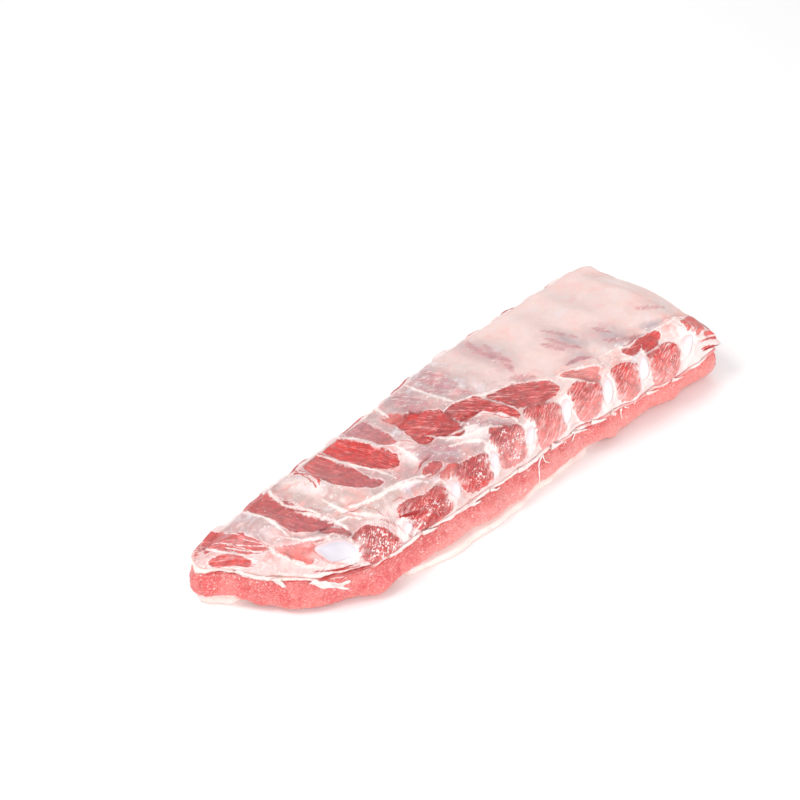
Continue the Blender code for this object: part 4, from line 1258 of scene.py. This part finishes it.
def fibreGroup():
    # bundles of fibres that run along the first axis of a vector in millimetres
    takes = [("Vector", "Vector", None)]
    gives = [("Lines", "Float"), ("Height", "Float"), ("Strands", "Float"), ("Wisps", "Float")]
    group, given, made = newGroup("meatFibres", takes, gives)
    m = Maker(group)
    coarse = m.noise(m.scaled(given.outputs[0], (0.08, 0.5, 1)), 1.0, 3.0, 0.6, 0.8)
    fine = m.noise(m.scaled(given.outputs[0], (0.22, 1.7, 1)), 1.0, 2.0, 0.6, 0.6)
    both = m.plus(m.times(coarse, 0.55), m.times(fine, 0.45))
    strands = m.noise(m.scaled(given.outputs[0], (0.1, 0.75, 1)), 1.0, 4.0, 0.6, 1.2)
    wisps = m.noise(m.scaled(given.outputs[0], (0.06, 0.42, 1)), 1.3, 3.0, 0.62, 1.6)
    m.put(made.inputs["Lines"], m.ramp(both, 0.50, 0.64))
    m.put(made.inputs["Height"], both)
    m.put(made.inputs["Strands"], m.times(m.minus(strands, 0.5), 2.0))
    m.put(made.inputs["Wisps"], m.ramp(wisps, 0.52, 0.68))
    return group


def glintGroup():
    # painted wet highlights: small glints, drawn out along the fibres
    takes = [("Vector", "Vector", None), ("Amount", "Float", 0.5)]
    group, given, made = newGroup("paintedGlints", takes, [("Mask", "Float")])
    m = Maker(group)
    grain = m.noise(m.scaled(given.outputs["Vector"], (0.5, 0.9, 1)), 1.0, 2.5, 0.62, 0.5)
    patch = m.noise(m.scaled(given.outputs["Vector"], (0.1, 0.12, 1)), 1.0, 1.0, 0.5, 0.0)
    level = m.minus(0.77, m.times(given.outputs["Amount"], 0.255))
    lifted = m.plus(grain, m.times(m.minus(patch, 0.5), 0.25))
    m.put(made.inputs["Mask"], m.ramp(m.minus(lifted, level), -0.01, 0.07))
    return group


def mottleGroup():
    # soft pink and grey clouding of fat and membrane
    takes = [("Vector", "Vector", None), ("Colour", "Color", (1, 1, 1, 1)), ("Amount", "Float", 0.5)]
    group, given, made = newGroup("mottling", takes, [("Colour", "Color"), ("Height", "Float")])
    m = Maker(group)
    amount = given.outputs["Amount"]
    wide = m.noise(given.outputs["Vector"], 0.07, 3.0, 0.55, 0.4)
    small = m.noise(given.outputs["Vector"], 0.14, 2.0, 0.5, 0.4)
    pink = m.mix(m.times(m.ramp(wide, 0.48, 0.72), amount), given.outputs["Colour"], rgb("mottlePink"))
    grey = m.mix(m.times(m.ramp(wide, 0.46, 0.26), amount), pink, rgb("mottleGrey"))
    # small pale spots, in the white that also paints glints on the ground
    white = m.mix(m.times(m.ramp(small, 0.50, 0.80), m.times(amount, 0.35)), grey, rgb("paleSpotAndGlint"))
    m.put(made.inputs["Colour"], white)
    m.put(made.inputs["Height"], small)
    return group


def newMaterial(name):
    made = bpy.data.materials.new(name)
    made.use_nodes = True
    shader = made.node_tree.nodes["Principled BSDF"]
    return made, shader, Maker(made.node_tree)


def setWet(shader, rough, coat, soft, coatRough=0.12, specular=0.5):
    shader.inputs["Roughness"].default_value = rough
    shader.inputs["Coat Weight"].default_value = coat
    shader.inputs["Coat Roughness"].default_value = coatRough
    shader.inputs["Specular IOR Level"].default_value = specular
    shader.inputs["Subsurface Weight"].default_value = soft
    shader.inputs["Subsurface Radius"].default_value = (1.0, 0.42, 0.3)
    shader.inputs["Subsurface Scale"].default_value = 0.0022


def ribMeatMaterial(groups):
    made, shader, m = newMaterial("ribMeatMaterial")
    place, fibre = m.place(), m.attribute("fibre", "Vector")
    fibres = m.group(groups["fibres"], Vector=fibre)
    glintMask = m.group(groups["glintMask"], Vector=fibre, Amount=m.attribute("glints"))["Mask"]
    edgeNoise = m.minus(m.noise(place, 0.5, 2.5, 0.55), 0.5)
    edge = m.plus(m.attribute("muscle"), m.plus(m.times(edgeNoise, 3.0),
                                                       m.times(fibres["Strands"], 2.2)))
    edge = m.plus(m.attribute("muscle"),
                  m.times(m.minus(edge, m.attribute("muscle")), m.attribute("fray")))
    isMuscle = m.ramp(edge, -0.3, 0.45)
    # flesh: pale fibre lines, tone, wisps of membrane, glints
    lines = m.times(fibres["Lines"], m.attribute("lines"))
    flesh = m.mix(lines, m.attribute("flesh", "Color"), rgb("fibreLine"))
    tone = m.ramp(m.noise(place, 0.22, 4.0, 0.6), 0.3, 0.7, 0.74, 1.25)
    flesh = m.mix(1.0, flesh, m.grey(tone), "MULTIPLY")
    mottled = m.group(groups["mottling"], Vector=place, Colour=m.attribute("ground", "Color"),
                      Amount=m.plus(0.4, m.attribute("groundMottleAndGlints")))
    rim = m.ramp(edge, 3.2, 0.0)
    striped = m.ramp(m.attribute("lines"), 0.75, 1.0, 0.06, 0.85)
    wisps = m.times(fibres["Wisps"], m.plus(striped, m.times(rim, 0.4)))
    veilNoise = m.times(m.minus(m.noise(fibre, 0.3, 3.0), 0.5), 1.2)
    veil = m.plus(m.attribute("veil"), m.times(veilNoise, m.plus(m.attribute("veil"), 0.12)))
    veil = m.math("MAXIMUM", m.math("MAXIMUM", veil, 0.0), wisps)
    covered = m.mix(veil, flesh, mottled["Colour"])
    # painted highlights: white wet glints over the muscle
    covered = m.mix(m.times(glintMask, 0.9), covered, rgb("glintWhite"))
    # ground: muscle shining through thin film, white strands over it
    thin = m.plus(m.attribute("film"), m.times(fibres["Strands"], 0.6))
    thin = m.plus(thin, m.times(edgeNoise, 0.45))
    nearMuscle = m.times(m.ramp(edge, -3.0, 0.0), 0.28)
    thin = m.ramp(thin, 0.12, 0.75)
    through = m.math("ADD", m.times(thin, 0.75), nearMuscle, clamp=True)
    through = m.times(through, m.ramp(m.attribute("film"), 0.0, 0.12))
    ground = m.mix(through, mottled["Colour"], m.mix(0.2, flesh, rgb("pinkMuscle")))
    white = m.times(fibres["Wisps"], m.ramp(m.attribute("film"), 0.02, 0.3, 0.1, 0.65))
    ground = m.mix(white, ground, rgb("fascia"))
    # painted shade: darker pink in the creases of the fat
    ground = m.mix(m.times(m.ramp(m.attribute("creaseShade"), 0.45, 1.0), 0.4), ground, rgb("creaseRed"))
    # painted highlights: white wet glints on the ground
    groundGlints = m.group(groups["glintMask"], Vector=place, Amount=m.attribute("groundMottleAndGlints"))["Mask"]
    ground = m.mix(m.times(groundGlints, 0.85), ground, rgb("paleSpotAndGlint"))
    # painted highlight: a light rim on the membrane just outside each muscle's edge
    lip = m.times(m.ramp(edge, -1.3, -0.4), m.ramp(edge, 0.1, -0.3))
    lip = m.times(lip, m.ramp(m.attribute("veil"), 0.25, 0.05))
    ground = m.mix(m.times(lip, 0.5), ground, rgb("edgeHighlight"))
    colour = m.mix(isMuscle, ground, covered)
    colour = m.mix(m.ramp(m.plus(m.attribute("redLine"), m.times(edgeNoise, 0.5)), 0.25, 0.9),
                   colour, rgb("redMuscle"))
    raisedLine = m.plus(m.attribute("ridge"), m.times(fibres["Strands"], 0.5))
    raisedLine = m.ramp(m.plus(raisedLine, m.times(edgeNoise, 1.4)), 0.25, 1.0)
    colour = m.mix(m.times(raisedLine, 0.8), colour, rgb("strand"))
    # partly painted shade: deep red in the grooves
    colour = m.mix(m.ramp(m.attribute("grooveRedAndShade"), 0.3, 0.62), colour, rgb("grooveShadeRed"))
    m.put(shader.inputs["Base Color"], colour)
    raised = m.plus(m.times(fibres["Height"], m.plus(0.25, isMuscle)),
                    m.times(mottled["Height"], 0.4))
    raised = m.minus(raised, m.times(isMuscle, 0.35))
    raised = m.plus(raised, m.times(white, 0.3))
    m.put(shader.inputs["Normal"], m.bump(raised, 0.7, 0.0011))
    setWet(shader, 0.34, 0.4, 0.2)
    return made


def slabMaterial(groups):
    made, shader, m = newMaterial("slabMaterial")
    place = m.place()
    grain = m.noise(m.scaled(place, (0.8, 0.8, 1.1)), 1.0, 4.0, 0.7, 0.6)
    cells = m.noise(place, 0.30, 4.0, 0.65, 0.8)
    wide = m.noise(place, 0.09, 3.0, 0.55, 0.5)
    flesh = m.attribute("flesh", "Color")
    flesh = m.mix(m.times(m.ramp(wide, 0.42, 0.62), 0.25), flesh, rgb("slabCloud"))
    flesh = m.mix(m.times(m.ramp(cells, 0.50, 0.30), 0.5), flesh, rgb("slabShade"))
    flesh = m.mix(m.times(m.ramp(grain, 0.47, 0.66), 0.55), flesh, rgb("slabGrain"))
    # painted highlights: white wet glints over the slab
    glintMask = m.group(groups["glintMask"], Vector=place, Amount=m.attribute("glints"))["Mask"]
    flesh = m.mix(m.times(glintMask, 0.8), flesh, rgb("glintWhite"))
    flesh = m.mix(m.attribute("whiteness"), flesh, rgb("peachFat"))
    m.put(shader.inputs["Base Color"], flesh)
    m.put(shader.inputs["Normal"], m.bump(m.plus(grain, m.times(cells, 0.8)), 0.8, 0.0012))
    setWet(shader, 0.36, 0.35, 0.2)
    return made


def fatMaterial(name, groups, amount, soft, bumpStrength=0.3):
    made, shader, m = newMaterial(name)
    place = m.place()
    mottled = m.group(groups["mottling"], Vector=place, Colour=m.attribute("flesh", "Color"), Amount=amount)
    m.put(shader.inputs["Base Color"], mottled["Colour"])
    m.put(shader.inputs["Normal"], m.bump(mottled["Height"], bumpStrength, 0.0006))
    setWet(shader, 0.38, 0.25, soft)
    return made


def boneMaterial():
    made, shader, m = newMaterial("boneMaterial")
    place = m.place()
    core = m.plus(m.attribute("core"), m.times(m.minus(m.noise(place, 0.6, 2.0), 0.5), 0.2))
    ring = m.times(m.ramp(core, 0.66, 0.80), m.ramp(core, 0.98, 0.86))
    colour = m.mix(m.times(ring, 0.5), rgb("boneWhite"), rgb("boneRing"))
    gloss = m.times(m.ramp(m.noise(place, 1.1, 3.0, 0.6), 0.5, 0.75), 0.35)
    colour = m.mix(gloss, colour, rgb("boneGloss"))
    colour = m.mix(m.times(m.attribute("lilac"), 0.85), colour, rgb("lavender"))
    colour = m.mix(m.times(m.ramp(core, 0.84, 1.0), 0.8), colour, rgb("boneRim"))
    m.put(shader.inputs["Base Color"], colour)
    m.put(shader.inputs["Normal"], m.bump(m.noise(place, 1.4, 3.0, 0.6), 0.25, 0.0004))
    setWet(shader, 0.32, 0.3, 0.3)
    shader.inputs["Subsurface Radius"].default_value = (0.9, 0.8, 0.9)
    return made


# Floor, light and camera
studio = {
    "azimuth": -44.0, "elevation": 40.0, "distance": 1.08, "target": (0.01902, 0.06728, 0.0), "lens": 75.0,
    "world": 0.68, "floorSize": 3.0,
    "lights": {
        "key": {"at": (-0.5, 0.25, 0.9), "size": 0.45, "power": 5.0},
        "front": {"at": (0.0, -1.0, 0.28), "size": 0.7, "power": 5.2},
        "rim": {"at": (0.6, 0.6, 0.75), "size": 1.0, "power": 2.0},
        "fill": {"at": (-1.0, -0.35, 0.25), "size": 0.8, "power": 2.6},
    },
}


def makeStudio():
    scene = bpy.context.scene
    scene.view_settings.view_transform = "Standard"
    scene.view_settings.look = "None"
    world = bpy.data.worlds.new("softRoom")
    world.use_nodes = True
    back = world.node_tree.nodes["Background"]
    back.inputs["Color"].default_value = (1.0, 1.0, 1.0, 1.0)
    back.inputs["Strength"].default_value = studio["world"]
    scene.world = world
    mesh = bpy.data.meshes.new("floor")
    half = studio["floorSize"]
    corners = [(-half, -half, 0), (half, -half, 0), (half, half, 0), (-half, half, 0)]
    mesh.from_pydata(corners, [], [(0, 1, 2, 3)])
    floor = bpy.data.objects.new("floor", mesh)
    scene.collection.objects.link(floor)
    finish, shader, m = newMaterial("floorMaterial")
    tone = m.noise(m.place(), 0.002, 2.0)
    m.put(shader.inputs["Base Color"], m.mix(m.times(tone, 0.05), rgb("floor"), rgb("floorShade")))
    shader.inputs["Roughness"].default_value = 0.8
    mesh.materials.append(finish)
    middle = Vector((0, 0, 0.02))
    for name, light in studio["lights"].items():
        lamp = bpy.data.lights.new(name, "AREA")
        lamp.energy = light["power"]
        lamp.size = light["size"]
        made = bpy.data.objects.new(name, lamp)
        made.location = light["at"]
        made.rotation_euler = (middle - Vector(light["at"])).to_track_quat("-Z", "Y").to_euler()
        scene.collection.objects.link(made)
    a, e = math.radians(studio["azimuth"]), math.radians(studio["elevation"])
    back = Vector((math.sin(a) * math.cos(e), -math.cos(a) * math.cos(e), math.sin(e)))
    lens = bpy.data.cameras.new("camera")
    lens.lens = studio["lens"]
    lens.sensor_width = 36.0
    camera = bpy.data.objects.new("camera", lens)
    camera.location = Vector(studio["target"]) + back * studio["distance"]
    camera.rotation_euler = (-back).to_track_quat("-Z", "Y").to_euler()
    scene.collection.objects.link(camera)
    scene.camera = camera


makeStudio()
print("studio ready")
groups = {"fibres": fibreGroup(), "glintMask": glintGroup(), "mottling": mottleGroup()}
makeRibLayer(ribMeatMaterial(groups))
makeSlab(slabMaterial(groups))
fascia = fatMaterial("fasciaMaterial", groups, 0.3, 0.3, 0.35)
makeSeam(fascia)
makeOuterFat(fatMaterial("outerFatMaterial", groups, 0.3, 0.35, 0.2))
boneFinish = boneMaterial()
for k in range(ribCount):
    makeBone(k, boneFinish)
print("bones:", ribCount)
makeFlaps(fascia)
print("pieces made")
